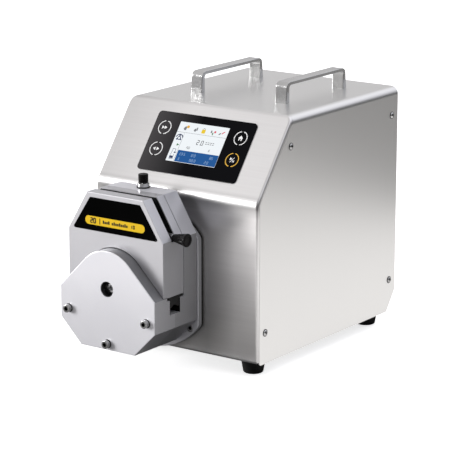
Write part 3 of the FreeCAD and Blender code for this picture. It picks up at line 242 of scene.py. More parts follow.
def ranged(tree, value, low, high, first=0.3, last=0.7):
    """Turns a value that goes from first to last into one that goes from low to high, and no further."""
    node = add(tree, "ShaderNodeMapRange")
    node.inputs["From Min"].default_value = first
    node.inputs["From Max"].default_value = last
    node.inputs["To Min"].default_value = low
    node.inputs["To Max"].default_value = high
    tree.links.new(value, node.inputs["Value"])
    return node.outputs["Result"]


def mixed(tree, amount, first, second):
    """Blends two colours by a 0 to 1 pattern."""
    node = add(tree, "ShaderNodeMix", data_type="RGBA")
    tree.links.new(amount, node.inputs["Factor"])
    node.inputs[6].default_value = (*first, 1.0)
    node.inputs[7].default_value = (*second, 1.0)
    return node.outputs[2]


def bumped(tree, shader, height, strength, distance):
    """Gives a shader a bump of a pattern, distance metres high."""
    node = add(tree, "ShaderNodeBump")
    node.inputs["Strength"].default_value = strength
    node.inputs["Distance"].default_value = distance
    tree.links.new(height, node.inputs["Height"])
    tree.links.new(node.outputs["Normal"], shader.inputs["Normal"])


# ---------------------------------------------------------------- materials
def brushed_steel(name, light, dark, roughness, grain, worn=0.0):
    """Stainless sheet whose fine lines run where grain is small; worn adds roughness below the bend."""
    material, tree, shader = new_material(name)
    shader.inputs["Metallic"].default_value = 1.0
    lines = noise(tree, grain, 4.0, 0.7)
    bands = noise(tree, tuple(g * 0.12 for g in grain), 2.0)
    both = add(tree, "ShaderNodeMath", operation="MULTIPLY_ADD")
    both.inputs[1].default_value = 0.55
    tree.links.new(lines, both.inputs[0])
    tree.links.new(combined(tree, "MULTIPLY", bands, 0.45), both.inputs[2])
    colour = mixed(tree, ranged(tree, both.outputs[0], 0.0, 1.0), dark, light)
    tree.links.new(colour, shader.inputs["Base Color"])
    fine = ranged(tree, lines, roughness - 0.02, roughness + 0.03)
    coarse = ranged(tree, place_axes(tree)["Z"], worn, 0.0, *WORN_HEIGHTS)
    tree.links.new(combined(tree, "ADD", fine, coarse), shader.inputs["Roughness"])
    bumped(tree, shader, lines, 0.12, 0.00001)
    return material


def satin_metal(name, light, dark, roughness, metallic, grain):
    """Fine satin metal: anodised, ground or plated."""
    material, tree, shader = new_material(name)
    shader.inputs["Metallic"].default_value = metallic
    speck = noise(tree, (grain, grain, grain), 3.0)
    cloud = noise(tree, (14.0, 14.0, 14.0), 2.0)
    tree.links.new(mixed(tree, ranged(tree, cloud, 0.0, 1.0), dark, light), shader.inputs["Base Color"])
    tree.links.new(ranged(tree, speck, roughness - 0.05, roughness + 0.05), shader.inputs["Roughness"])
    bumped(tree, shader, speck, 0.18, 0.00003)
    return material


def moulded(name, light, dark, roughness, grain, bump, shine):
    """Moulded plastic or rubber with a fine surface grain."""
    material, tree, shader = new_material(name)
    shader.inputs["Specular IOR Level"].default_value = shine
    speck = noise(tree, (grain, grain, grain), 3.0)
    cloud = noise(tree, (25.0, 25.0, 25.0), 2.0)
    tree.links.new(mixed(tree, ranged(tree, cloud, 0.0, 1.0), dark, light), shader.inputs["Base Color"])
    tree.links.new(ranged(tree, speck, roughness - 0.06, roughness + 0.08), shader.inputs["Roughness"])
    bumped(tree, shader, speck, bump, 0.00004)
    return material


def height_tone(tree, height):
    """The painted light and shade on the front at a height."""
    low, high = FRONT_PAINTED_TONES[0][0], FRONT_PAINTED_TONES[-1][0]
    ramp = add(tree, "ShaderNodeValToRGB")
    tree.links.new(ranged(tree, height, 0.0, 1.0, low, high), ramp.inputs["Fac"])
    stops = ramp.color_ramp.elements
    for stop_height, tone in FRONT_PAINTED_TONES[1:-1]:
        stops.new((stop_height - low) / (high - low))
    for stop, (stop_height, tone) in zip(stops, FRONT_PAINTED_TONES):
        stop.color = (tone, tone, tone, 1.0)
    return ramp.outputs["Color"]


def head_tone(tree, places):
    """The painted shade beside the head, which ends away from the head and above it."""
    near, far, tone, low, high = HEAD_SHADE
    across = combined(tree, "SUBTRACT", places["X"], AXIS_X * MM)
    away = add(tree, "ShaderNodeMath", operation="ABSOLUTE")
    tree.links.new(across, away.inputs[0])
    beside = ranged(tree, away.outputs["Value"], tone, 1.0, near, far)
    above = ranged(tree, places["Z"], 0.0, 1.0, low, high)
    return combined(tree, "MAXIMUM", beside, above)


def shaded_front(material):
    """Paints light and shade on the front's steel: darker at the foot, in the bend, at the left and beside the
    head.
    """
    tree = material.node_tree
    shader = tree.nodes["Principled BSDF"]
    toned = shader.inputs["Base Color"].links[0].from_socket
    places = place_axes(tree)
    first, last, tone = FRONT_LEFT_SHADE
    left = ranged(tree, places["X"], tone, 1.0, first, last)
    for factor in (height_tone(tree, places["Z"]), left, head_tone(tree, places)):
        product = add(tree, "ShaderNodeVectorMath", operation="MULTIPLY")
        tree.links.new(toned, product.inputs[0])
        tree.links.new(factor, product.inputs[1])
        toned = product.outputs["Vector"]
    tree.links.new(toned, shader.inputs["Base Color"])
    return material


def printed(name, colour, roughness=0.35):
    """Screen-printed ink: slightly uneven in density."""
    material, tree, shader = new_material(name)
    shader.inputs["Specular IOR Level"].default_value = 0.12
    speck = noise(tree, (2500.0, 2500.0, 2500.0), 2.0)
    darker = tuple(c * 0.88 for c in colour)
    tree.links.new(mixed(tree, ranged(tree, speck, 0.0, 1.0), darker, colour), shader.inputs["Base Color"])
    tree.links.new(ranged(tree, speck, roughness - 0.05, roughness + 0.05), shader.inputs["Roughness"])
    return material


def lit(name, colour, strength):
    """A lit part of the display's picture, with the faint grid of its dots."""
    material, tree, shader = new_material(name)
    wave = add(tree, "ShaderNodeTexWave", wave_type="BANDS", bands_direction="X")
    wave.inputs["Scale"].default_value = 1.0
    tree.links.new(place_coordinates(tree, (900.0, 0.0, 0.0)), wave.inputs["Vector"])
    grid = ranged(tree, wave.outputs["Fac"], 0.0, 1.0, 0.0, 1.0)
    dots = mixed(tree, grid, tuple(c * 0.94 for c in colour), colour)
    tree.links.new(dots, shader.inputs["Emission Color"])
    shader.inputs["Base Color"].default_value = (*(c * 0.08 for c in colour), 1.0)
    shader.inputs["Emission Strength"].default_value = strength
    shader.inputs["Roughness"].default_value = 0.2
    shader.inputs["Specular IOR Level"].default_value = 0.1
    return material


def overlay_painted_reflection(name):
    """Black gloss film with a painted reflection that greys it towards its left side."""
    material, tree, shader = new_material(name)
    amount = ranged(tree, place_axes(tree)["X"], 1.0, 0.0, -0.068, 0.0)
    colour = mixed(tree, amount, (0.002, 0.002, 0.003), (0.055, 0.052, 0.054))
    tree.links.new(colour, shader.inputs["Base Color"])
    speck = noise(tree, (900.0, 900.0, 900.0), 2.0)
    tree.links.new(ranged(tree, speck, 0.10, 0.16), shader.inputs["Roughness"])
    shader.inputs["Specular IOR Level"].default_value = 0.05
    return material


def make_materials():
    """A material for each of the record's slots, and those that parts of nodes have of their own, most with
    painted light or shade.
    """
    across, round_case = (8.0, 2200.0, 2200.0), (8.0, 2600.0, 8.0)
    # the front's steel is drawn lighter than the other steel, and shaded_front paints light and shade on it
    front = brushed_steel("stainless_front", (0.98, 0.965, 0.965), (0.92, 0.905, 0.905), 0.30, across, 0.14)
    materials = {
        "stainless": brushed_steel("stainless", (0.77, 0.755, 0.75), (0.72, 0.705, 0.70), 0.30, across),
        "stainless_front": shaded_front(front),
        "stainless_cover": brushed_steel("stainless_cover", (0.775, 0.77, 0.763), (0.76, 0.755, 0.748), 0.31,
                                         round_case),
        "overlay_black": overlay_painted_reflection("overlay_black"),
        "screen": lit("screen", (0.86, 0.90, 0.93), 0.95)}
    for name, look in SATIN_METALS.items():
        materials[name] = satin_metal(name, *look)
    for name, look in MOULDINGS.items():
        materials[name] = moulded(name, *look)
    return materials


def make_inks():
    """The inks of keys and label, and the colours of the display's picture."""
    inks = {name: printed(name, colour) for name, colour in PRINTED_INKS.items()}
    for name, (colour, strength) in SCREEN_COLOURS.items():
        inks[name] = lit(name, colour, strength)
    return inks


def finish_cad_nodes(materials):
    """Gives every CAD node the procedural material of its slot, or its own one: the front's has painted light
    and shade, the pressure block's painted shade.
    """
    # the pressure block's own material is darker as painted shade; the front's carries painted light and shade
    own_finishes_and_painted_tones = {"housing_cover": "stainless_cover", "pressure_block": "shaded_block_aluminium",
                "front_panel": "stainless_front"}
    for entry in frame["record"]["subparts"]:
        node = frame["nodes"].get(entry["node"])
        if node is None:
            continue
        wanted = own_finishes_and_painted_tones.get(entry["node"], entry["material_slot"])
        for slot in node.material_slots:
            slot.material = materials[wanted]
        if not node.material_slots:
            node.data.materials.append(materials[wanted])


def paint_faces(name, material, wanted):
    """Gives the faces of a node for which wanted(place, normal) is true a material of their own, which here
    paints light or shade on them.
    """
    node = frame["nodes"][name]
    node.data.materials.append(material)
    turn = node.matrix_world.to_3x3()
    for face in node.data.polygons:
        place = (node.matrix_world @ face.center - at(0.0, 0.0, 0.0)) / MM
        if wanted(place, turn @ face.normal):
            face.material_index = len(node.data.materials) - 1


def from_axis(place):
    """A place as across and up from the rotor's axis."""
    return Vector((place.x - AXIS_X, place.z - AXIS_Z))


def paint_dome_shade(materials):
    """Paints shade: the rim round the front plate's dome darker than its face, and the pocket round the dome
    black.
    """
    def on_rim(place, normal):
        uv = from_axis(place)
        return uv.length > DOME_R - 1.0 and uv.y > SHOULDER_V and abs(normal.y) < 0.1

    def in_pocket(place, normal):
        uv = from_axis(place)
        inwards = normal.x * uv.x + normal.z * uv.y < -0.3 * uv.length
        return inwards and uv.length > DOME_R - 1.0 and place.y < POCKET_BACK and abs(normal.y) < 0.1

    paint_faces("head_front_body", materials["shaded_rim_aluminium"], on_rim)
    paint_faces("pressure_block", materials["shade_black"], in_pocket)


def paint_tube_slot_shade(materials):
    """The walls of the two tube slots are painted black, as painted shade."""
    def on_wall(place, normal):
        u, v = from_axis(place)
        wall = min(abs(place.y - y) for y in TUBE_SLOT_WALLS) < 0.2
        return wall and abs(u) > TUBE_SLOT_START and v > TUBE_SLOT_V - 0.5 and abs(normal.y) > 0.9

    for name in ("head_front_body", "head_rear_body"):
        paint_faces(name, materials["shade_black"], on_wall)


def paint_side_shade_and_bevel_light(materials):
    """Paints shade on the head's sides and on the adapter plate's edges, and light on the head's upper bevels.
    """
    def sideways(place, normal):
        return abs(place.x - AXIS_X) > SIDE_REACH and abs(normal.x) > 0.6

    def on_side(place, normal):
        return sideways(place, normal) and normal.z < 0.2 and place.z < AXIS_Z + SIDE_TOP_V

    def on_bevel(place, normal):
        return sideways(place, normal) and normal.z > 0.3 and place.z > AXIS_Z + BEVEL_LOW_V

    def on_edge(place, normal):
        return abs(normal.y) < 0.1

    paint_faces("head_front_body", materials["shaded_side_aluminium"], on_side)
    paint_faces("pressure_block", materials["shaded_side_aluminium"], on_side)
    paint_faces("head_rear_body", materials["shaded_rear_aluminium"], on_side)
    paint_faces("adapter_plate", materials["shaded_side_aluminium"], on_edge)
    paint_faces("pressure_block", materials["lit_bevel_aluminium"], on_bevel)
    paint_faces("head_rear_body", materials["lit_bevel_aluminium"], on_bevel)


def paint_socket_shade(materials):
    """The sockets and slots of the screws are painted dark, as painted shade."""
    adapter = [(su * ADAPTER_SCREW_REACH, sv * ADAPTER_SCREW_REACH) for su in (-1, 1) for sv in (-1, 1)]

    def in_socket(depths, centres):
        def wanted(place, normal):
            near = min((from_axis(place) - Vector(c)).length for c in centres)
            return depths[0] < place.y < depths[1] and near < SOCKET_R
        return wanted

    def in_cross(place, normal):
        out = abs(place.x) - HOUSING_HALF
        near = min(math.hypot(place.y - y, place.z - z) for y, z in COVER_SCREWS)
        return near < CROSS_R and out > CROSS_FLOOR[0] and (out < CROSS_FLOOR[1] or abs(normal.x) < 0.2)

    paint_faces("head_body_screws", materials["shade_black"], in_socket(BODY_SOCKET, BODY_SCREWS))
    paint_faces("adapter_screws", materials["shade_black"], in_socket(ADAPTER_SOCKET, adapter))
    paint_faces("cover_screws", materials["shade_black"], in_cross)


# ---------------------------------------------------------------- mesh helpers
def new_piece(name, body, material, mesh_builder, smooth=False):
    """Makes a piece from a bmesh filled by mesh_builder, and lets it ride on a body."""
    mesh = bpy.data.meshes.new(name)
    bm = bmesh.new()
    mesh_builder(bm)
    bmesh.ops.recalc_face_normals(bm, faces=bm.faces)
    bm.to_mesh(mesh)
    bm.free()
    piece = bpy.data.objects.new(name, mesh)
    bpy.context.scene.collection.objects.link(piece)
    mesh.materials.append(material)
    for face in mesh.polygons:
        face.use_smooth = smooth
    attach(piece, body)
    return piece


def slab(bm, outline, surface, low, high):
    """A thin flat plate: outline is (a, b) points, surface(a, b, rise) puts them in space."""
    lower = [bm.verts.new(surface(a, b, low)) for a, b in outline]
    upper = [bm.verts.new(surface(a, b, high)) for a, b in outline]
    bm.faces.new(lower[::-1])
    bm.faces.new(upper)
    for i in range(len(outline)):
        k = (i + 1) % len(outline)
        bm.faces.new((lower[i], lower[k], upper[k], upper[i]))


def box_points(a, b, width, height):
    """The corners of a rectangle about (a, b)."""
    return [(a - width / 2, b - height / 2), (a + width / 2, b - height / 2),
            (a + width / 2, b + height / 2), (a - width / 2, b + height / 2)]


def round_box_points(a, b, width, height, radius, steps=8):
    """A rectangle with round corners."""
    points = []
    for ca, cb, start in ((1, 1, 0), (-1, 1, 90), (-1, -1, 180), (1, -1, 270)):
        for k in range(steps + 1):
            angle = math.radians(start + 90 * k / steps)
            points.append((a + ca * (width / 2 - radius) + radius * math.cos(angle),
                           b + cb * (height / 2 - radius) + radius * math.sin(angle)))
    return points


def arc_points(a, b, inner, outer, first, last, steps=28):
    """A flat arc band between two radii, from first to last degrees."""
    angles = [math.radians(first + (last - first) * k / steps) for k in range(steps + 1)]
    far = [(a + outer * math.cos(t), b + outer * math.sin(t)) for t in angles]
    near = [(a + inner * math.cos(t), b + inner * math.sin(t)) for t in reversed(angles)]
    return far + near


def print_on(name, body, material, surface, base, outlines, thickness=INK):
    """Ink outlines laid on a surface as one piece."""
    def build(bm):
        for outline in outlines:
            slab(bm, outline, surface, base + INK_GAP, base + thickness)
    return new_piece(name, body, material, build)


def moved(points, a, b, size=1.0):
    """Points made larger by size, then shifted by (a, b)."""
    return [(a + p * size, b + q * size) for p, q in points]


# ---------------------------------------------------------------- display
def key_symbols():
    """Outline lists of each key's symbol, about its centre."""
    right = [(-1.9, -2.3), (2.1, 0.0), (-1.9, 2.3)]
    left = [(-p, q) for p, q in right]
    house = [(-3.5, -0.2), (0, 3.6), (3.5, -0.2), (2.4, -0.2), (2.4, -3.2), (0.9, -3.2), (0.9, -0.9),
             (-0.9, -0.9), (-0.9, -3.2), (-2.4, -3.2), (-2.4, -0.2)]
    slash = [(-2.6, -3.3), (-1.9, -3.5), (3.0, 3.2), (2.3, 3.5)]
    return {"key_forward": [moved(right, -1.9, 0), moved(right, 1.9, 0)],
            "key_direction": [moved(left, -2.7, 0), moved(right, 2.7, 0)],
            "key_home": [house],
            "key_run": [moved(right, -1.8, 1.3, 0.85), slash,
                        box_points(1.5, -1.6, 0.8, 2.8), box_points(3.0, -1.6, 0.8, 2.8)]}


def make_keys(ink):
    """White or amber rings, open at the top and the bottom, with a symbol in each."""
    symbols = key_symbols()
    for name, (x, s) in KEYS.items():
        colour = ink["ink_amber"] if name == "key_run" else ink["ink_white"]
        rings = [arc_points(x, s, *KEY_RING, start, start + 160) for start in (-80, 100)]
        print_on(name + "_ring", name, colour, on_slope, OVERLAY_T, rings)
        print_on(name + "_symbol", name, ink["ink_white"], on_slope, OVERLAY_T,
                 [moved(o, x, s) for o in symbols[name]])


def digit_strokes(digit, a, b, height, weight):
    """A seven-segment digit as small plates."""
    width, thick = height * 0.5, height * weight
    half = height / 2
    segments = {"top": box_points(a, b + half, width, thick),
                "mid": box_points(a, b, width, thick),
                "low": box_points(a, b - half, width, thick),
                "tl": box_points(a - width / 2, b + half / 2, thick, half),
                "tr": box_points(a + width / 2, b + half / 2, thick, half),
                "bl": box_points(a - width / 2, b - half / 2, thick, half),
                "br": box_points(a + width / 2, b - half / 2, thick, half)}
    shown = {"0": "top low tl tr bl br", "1": "tr br", "2": "top tr mid bl low", "3": "top tr mid br low",
             "5": "top tl mid br low", "8": "top mid low tl tr bl br"}[digit]
    return [segments[s] for s in shown.split()]


def number(text, a, b, height, weight=0.13):
    """A number in seven-segment digits; a full stop is a small dot."""
    plates = []
    for letter in text:
        if letter == ".":
            plates.append(box_points(a - height * 0.12, b - height * 0.5, height * 0.14, height * 0.14))
            a += height * 0.28
        else:
            plates += digit_strokes(letter, a, b, height, weight)
            a += height * 0.82
    return plates


def print_screen(ink, name, colour, outlines, rise=0.0):
    """One piece of the display's picture, with its outlines given from the screen's lower left corner."""
    left, low = SCREEN_X - SCREEN_W / 2, SCREEN_S - SCREEN_H / 2
    shifted = [[(left + p, low + q) for p, q in outline] for outline in outlines]
    print_on(name, "base", ink[colour], on_slope, SCREEN_RISE + rise, shifted, SCREEN_INK)


def make_values(ink):
    """The blue block of values, the reading with its unit as plain bars, and the lines between the areas."""
    block = [(12.7, 0.6), (72.6, 0.6), (72.6, 16.0), (12.7, 16.0)]
    print_screen(ink, "screen_blue_block", "screen_blue", [block])
    values = []
    for text, a, b in (("23.5", 17.5, 11.2), ("12.0", 33.0, 11.2), ("85", 62.0, 11.2),
                       ("3", 17.5, 4.6), ("150.0", 33.0, 4.6), ("2.0", 57.0, 4.6)):
        values += number(text, a, b, 3.2)
    print_screen(ink, "screen_blue_values", "screen_pale", values, SCREEN_INK)
    reading = []
    for text, a, b, height in (("2.0", 36.0, 29.0, 5.6), ("150", 22.0, 20.4, 2.8), ("0", 56.0, 20.4, 2.8)):
        reading += number(text, a, b, height)
    reading += [box_points(48 + 3.4 * k, b, 2.2, 0.7) for b in (28.4, 30.6) for k in range(4)]
    print_screen(ink, "screen_reading", "screen_dark", reading)
    lines = [box_points(36.5, 39.6, 72.0, 0.35), box_points(11.6, 19.5, 0.35, 38.0)]
    print_screen(ink, "screen_lines", "screen_grey", lines)


def make_top_icons(ink):
    """The row of small icons along the top of the screen."""
    hand = [(0, -3), (2.2, -3), (2.6, 0), (1.6, 2.6), (-0.6, 1.2), (-1.8, -1.2)]
    arrow = moved([(-1.6, -1.6), (2.2, 0), (-1.6, 1.6)], 8.6, 22.6)
    pen = [(64.8, 44.0), (68.6, 47.4), (67.6, 48.2), (64.0, 45.2)]
    tip = [(60.8, 42.6), (63.4, 44.6), (62.6, 45.6), (60.2, 43.6)]
    greys = [moved(hand, 9.5, 45.6), moved(hand, 24.5, 45.0, 0.8), box_points(27.5, 46.2, 1.6, 4.2),
             box_points(49.0, 45.4, 1.8, 3.4)]
    for name, colour, outlines in (
            ("grey", "grey", greys),
            ("amber", "amber", [round_box_points(13.6, 47.6, 3.8, 3.6, 1.2)]),
            ("yellow", "yellow", [round_box_points(37.5, 44.2, 5.4, 5.2, 1.0)]),
            ("lock", "grey", [arc_points(37.5, 46.6, 1.4, 2.0, 0, 180, 12)]),
            ("green", "green", [arrow, round_box_points(51.6, 43.0, 1.6, 3.6, 0.5)]),
            ("red", "red", [round_box_points(54.4, 45.6, 2.6, 2.8, 0.8), pen]),
            ("black", "dark", [tip])):
        print_screen(ink, "screen_icon_" + name, "screen_" + colour, outlines)


def make_side_icons(ink):
    """The pump rotor and the jar at the left of the screen."""
    a, b, reach = 6.6, 31.4, 3.3
    rotor = [arc_points(a, b, 4.3, 5.6, 10, 170), arc_points(a, b, 1.6, 2.6, 0, 359, 24)]
    for k in range(3):
        turn = math.radians(90 + 120 * k)
        roller = arc_points(0, 0, 0.01, 1.1, 0, 359, 12)
        rotor.append(moved(roller, a + reach * math.cos(turn), b + reach * math.sin(turn)))
    print_screen(ink, "screen_icon_rotor", "screen_navy", rotor)
    jar = ((3.6, 6.4, 0.5, 6.8), (8.6, 6.4, 0.5, 6.8), (6.1, 3.1, 5.4, 0.5), (6.1, 5.6, 4.4, 3.2),
           (4.4, 13.4, 0.5, 6.6), (6.6, 16.6, 4.8, 0.5), (8.8, 14.6, 0.5, 3.8), (8.8, 12.0, 2.6, 1.6))
    print_screen(ink, "screen_icon_jar", "screen_navy", [box_points(*box) for box in jar])


# ---------------------------------------------------------------- label
def make_label(ink):
    """The yellow bar on the black label, with two plain numbers and a row of bars in place of words."""
    bar = round_box_points(0, LABEL_BAR_V, LABEL_BAR_W, LABEL_BAR_H, 5.1)
    print_on("label_bar", "pressure_block", ink["ink_yellow"], on_label, 0.0, [bar])
    marks = number("20", -35.0, LABEL_BAR_V, 5.6, 0.27)
    marks.append(box_points(-22.5, LABEL_BAR_V, 1.2, 7.4))
    for k in range(14):
        height = 4.0 if k % 3 == 0 else 2.9
        if k != 4:
            marks.append(box_points(-17.0 + 2.7 * k, LABEL_BAR_V + (height - 4.0) / 2, 2.1, height))
    marks += number("1.0", 24.5, LABEL_BAR_V, 3.6, 0.27)
    print_on("label_marks", "pressure_block", ink["ink_black"], on_label, INK, marks)


# ---------------------------------------------------------------- rings
def turned_ring(bm, centre, axis, corners, steps=48):
    """Turns an outline of (radius, distance along the axis) corners round an axis through centre."""
    turn = Vector(axis).to_track_quat("Z", "Y")
    loops = []
    for radius, along in corners:
        places = []
        for k in range(steps):
            angle = 2 * math.pi * k / steps
            corner = Vector((radius * math.cos(angle), radius * math.sin(angle), along))
            places.append(Vector(centre) + turn @ corner)
        loops.append([bm.verts.new(at(*place)) for place in places])
    close_loops(bm, loops + loops[:1], False)


def ring_corners(inner, outer, low, high):
    """The section of a flat ring, for turned_ring."""
    return [(inner, low), (outer, low), (outer, high), (inner, high)]


def make_rings(material):
    """Thin black rings: painted shade in the front plate's hole and round the screws, and the plunger's seal.
    """
    # painted shade inside the front plate's hole
    def hole_shade(bm):
        turned_ring(bm, (AXIS_X, 0.0, AXIS_Z), (0, 1, 0), ring_corners(HOLE_SHADE_INNER, HOLE_SHADE_OUTER, *HOLE_SHADE_Y))

    # painted shade round the heads of the body screws
    def body_screw_shade(bm):
        inner = BODY_SCREW_R + FIT
        for u, v in BODY_SCREWS:
            turned_ring(bm, (AXIS_X + u, HEAD_FRONT, AXIS_Z + v), (0, -1, 0),
                        ring_corners(inner, inner + SHADE_RING_WIDTH, 0.01, SHADE_RING_T))

    # painted shade round the heads of the cover screws
    def cover_screw_shade(bm):
        inner = COVER_SCREW_R + FIT
        for side in (-1, 1):
            for y, z in COVER_SCREWS:
                turned_ring(bm, (side * HOUSING_HALF, y, z), (side, 0, 0),
                            ring_corners(inner, inner + SHADE_RING_WIDTH, 0.01, SHADE_RING_T))

    def seal(bm):
        inner = COLLAR_R + FIT
        turned_ring(bm, (AXIS_X, PLUNGER_Y, AXIS_Z + HEAD_TOP_V), (0, 0, 1),
                    ring_corners(inner, inner + SEAL_WIDTH, *SEAL_RISE))

    for name, builder in (("front_hole_shade_ring", hole_shade), ("body_screw_shade_rings", body_screw_shade),
                          ("cover_screw_shade_rings", cover_screw_shade), ("plunger_seal", seal)):
        new_piece(name, "base", material, builder, True)


# ---------------------------------------------------------------- grip and spring
def close_loops(bm, loops, ends=True):
    """Joins rings of vertices with faces, and closes both ends where ends is true."""
    for first, second in zip(loops, loops[1:]):
        count = len(first)
        for k in range(count):
            m = (k + 1) % count
            bm.faces.new((first[k], first[m], second[m], second[k]))
    if ends:
        bm.faces.new(loops[0][::-1])
        bm.faces.new(loops[-1])


def make_grip(material, steps=96):
    """The lever's tapered grip, with flutes along it and a shallow recess in its end."""
    tilt = math.radians(GRIP_TILT)
    way = Vector((math.cos(tilt), 0, math.sin(tilt)))
    up = Vector((-math.sin(tilt), 0, math.cos(tilt)))
    u, y, v = GRIP_PLACE
    start = Vector((AXIS_X + u, y, AXIS_Z + v))

    def build(bm):
        loops = []
        for along, radius, fluted in GRIP_PROFILE:
            loop = []
            for k in range(steps):
                angle = 2 * math.pi * k / steps
                r = radius * (1 - FLUTE_DEPTH * fluted * (0.5 + 0.5 * math.cos(GRIP_FLUTES * angle)))
                place = start + way * along + Vector((0, r * math.cos(angle), 0)) + up * (r * math.sin(angle))
                loop.append(bm.verts.new(at(*place)))
            loops.append(loop)
        close_loops(bm, loops)

    grip = new_piece("lever_grip_fluted", "lever", material, build)
    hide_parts("lever_grip")


def make_spring(material, sides=10, steps=26):
    """The locking plunger's coil spring, drawn at one fixed length; the real one shortens as the plunger is
    pulled.
    """
    low, high = SPRING_V

    def build(bm):
        loops, count = [], SPRING_TURNS * steps
        for k in range(count + 1):
            turn = 2 * math.pi * k / steps
            out = Vector((math.cos(turn), math.sin(turn), 0))
            height = low + WIRE_R + (high - low - 2 * WIRE_R) * k / count
            middle = Vector((AXIS_X, PLUNGER_Y, AXIS_Z + height)) + out * SPRING_R
            loop = []
            for m in range(sides):
                angle = 2 * math.pi * m / sides
                place = middle + out * WIRE_R * math.cos(angle) + Vector((0, 0, WIRE_R * math.sin(angle)))
                loop.append(bm.verts.new(at(*place)))
            loops.append(loop)
        close_loops(bm, loops)

    spring = new_piece("locking_spring", "base", material, build, True)
    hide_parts("plunger_spring")
    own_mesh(spring)


# ---------------------------------------------------------------- studio
def make_studio():
    """A white floor, a soft key light from the front left, and cards that only the metal reflects."""
    shown = plane("floor", (0.0, 0.0, 0.0), FLOOR_SIZE, FLOOR_SIZE)
    white, tree, shader = new_material("floor_white")
    cloud = noise(tree, (9.0, 9.0, 9.0), 2.0)
    tree.links.new(mixed(tree, ranged(tree, cloud, 0.0, 1.0), (0.90, 0.90, 0.90), (0.92, 0.92, 0.92)),
                   shader.inputs["Base Color"])
    shader.inputs["Roughness"].default_value = 0.7
    shader.inputs["Emission Color"].default_value = (1.0, 1.0, 1.0, 1.0)
    shader.inputs["Emission Strength"].default_value = FLOOR_GLOW
    shown.data.materials.append(white)
    shown.visible_diffuse = False
    shown.visible_glossy = False

    bounce = plane("floor_bounce", (0.0, 0.0, -0.4), FLOOR_SIZE, FLOOR_SIZE)
    light, dark = (FLOOR_BOUNCE,) * 3, (FLOOR_BOUNCE * 0.96,) * 3
    bounce.data.materials.append(moulded("floor_grey", light, dark, 0.8, 60.0, 0.0, 0.4))
    bounce.visible_camera = False
    bounce.visible_glossy = False

    for name, centre, width, depth, brightness in CARDS:
        piece = plane(name, centre, width, depth)
        piece.data.materials.append(glow(name, brightness))
        piece.visible_camera = False
        piece.visible_diffuse = False
        piece.visible_shadow = False
    key_light("key_light", KEY_TOWARDS, KEY_WIDTH, KEY_STRENGTH)
    make_world()


def plane(name, centre, width, depth):
    """A level rectangle at a point given from the floor below the housing's front middle."""
    mesh = bpy.data.meshes.new(name)
    bm = bmesh.new()
    x, y, z = centre
    for sx, sy in ((-1, -1), (1, -1), (1, 1), (-1, 1)):
        bm.verts.new(at(x + sx * width / 2, y + sy * depth / 2, z - FOOT_HEIGHT))
    bm.faces.new(bm.verts)
    bm.to_mesh(mesh)
    bm.free()
    piece = bpy.data.objects.new(name, mesh)
    bpy.context.scene.collection.objects.link(piece)
    return piece


def glow(name, brightness):
    """A slightly warm, slightly uneven light surface."""
    material, tree, shader = new_material(name)
    tree.nodes.remove(shader)
    light = add(tree, "ShaderNodeEmission")
    cloud = noise(tree, (1.5, 1.5, 1.5), 1.0)
    colour = (brightness, brightness * 0.985, brightness * 0.973)
    tree.links.new(mixed(tree, ranged(tree, cloud, 0.0, 1.0), tuple(c * 0.96 for c in colour), colour),
                   light.inputs["Color"])
    tree.links.new(light.outputs["Emission"], tree.nodes["Material Output"].inputs["Surface"])
    return material


def sky_colour(tree):
    """The dim sky with its bright parts added, as a colour output."""
    source = add(tree, "ShaderNodeTexCoord")
    total = None
    for towards, spread, colour in SKY_PARTS:
        side = add(tree, "ShaderNodeVectorMath", operation="DOT_PRODUCT")
        side.inputs[1].default_value = Vector(towards).normalized()
        tree.links.new(source.outputs["Generated"], side.inputs[0])
        amount = ranged(tree, side.outputs["Value"], 0.0, 1.0, *spread)
        part = mixed(tree, amount, SKY_DIM if total is None else (0.0, 0.0, 0.0), colour)
        if total is None:
            total = part
            continue
        both = add(tree, "ShaderNodeVectorMath", operation="ADD")
        tree.links.new(total, both.inputs[0])
        tree.links.new(part, both.inputs[1])
        total = both.outputs["Vector"]
    return total


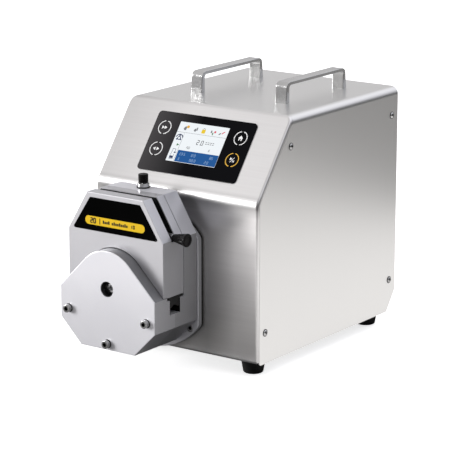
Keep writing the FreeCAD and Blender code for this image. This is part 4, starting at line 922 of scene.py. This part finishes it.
def make_world():
    """A dim studio with bright parts above, and a pale backdrop where the view passes over the floor."""
    world = bpy.data.worlds.new("studio")
    bpy.context.scene.world = world
    world.use_nodes = True
    tree = world.node_tree
    studio = tree.nodes["Background"]
    tree.links.new(sky_colour(tree), studio.inputs["Color"])
    studio.inputs["Strength"].default_value = 1.0
    backdrop = add(tree, "ShaderNodeBackground")
    backdrop.inputs["Color"].default_value = (*BACKDROP, 1.0)
    seen = add(tree, "ShaderNodeLightPath").outputs["Is Camera Ray"]
    either = add(tree, "ShaderNodeMixShader")
    tree.links.new(seen, either.inputs[0])
    tree.links.new(studio.outputs["Background"], either.inputs[1])
    tree.links.new(backdrop.outputs["Background"], either.inputs[2])
    tree.links.new(either.outputs["Shader"], tree.nodes["World Output"].inputs["Surface"])


def key_light(name, towards, width, strength):
    """A soft light, as from a large softbox, that shines from towards."""
    data = bpy.data.lights.new(name, "SUN")
    data.angle = math.radians(width)
    data.energy = strength
    lamp = bpy.data.objects.new(name, data)
    lamp.rotation_euler = Vector(towards).to_track_quat("Z", "Y").to_euler()
    bpy.context.scene.collection.objects.link(lamp)


def make_camera():
    """A long lens from the front right, a little above the pump."""
    data = bpy.data.cameras.new("camera")
    data.lens, data.sensor_width = LENS, SENSOR
    data.clip_end = 50.0
    camera = bpy.data.objects.new("camera", data)
    azimuth, elevation = math.radians(CAMERA_AZIMUTH), math.radians(CAMERA_ELEVATION)
    flat = math.cos(elevation)
    back = Vector((math.sin(azimuth) * flat, -math.cos(azimuth) * flat, math.sin(elevation)))
    camera.location = at(*CAMERA_AIM) + back * CAMERA_DISTANCE * MM
    camera.rotation_euler = back.to_track_quat("Z", "Y").to_euler()
    bpy.context.scene.collection.objects.link(camera)
    bpy.context.scene.camera = camera
    bpy.context.scene.view_settings.view_transform = "Standard"


def main():
    make_camera()
    materials = make_materials()
    finish_cad_nodes(materials)
    paint_dome_shade(materials)
    paint_side_shade_and_bevel_light(materials)
    paint_tube_slot_shade(materials)
    paint_socket_shade(materials)
    make_rings(materials["plastic_black"])
    make_grip(materials["knob_black"])
    make_spring(materials["shaft_steel"])
    ink = make_inks()
    make_keys(ink)
    make_values(ink)
    make_top_icons(ink)
    make_side_icons(ink)
    make_label(ink)
    make_studio()


main()
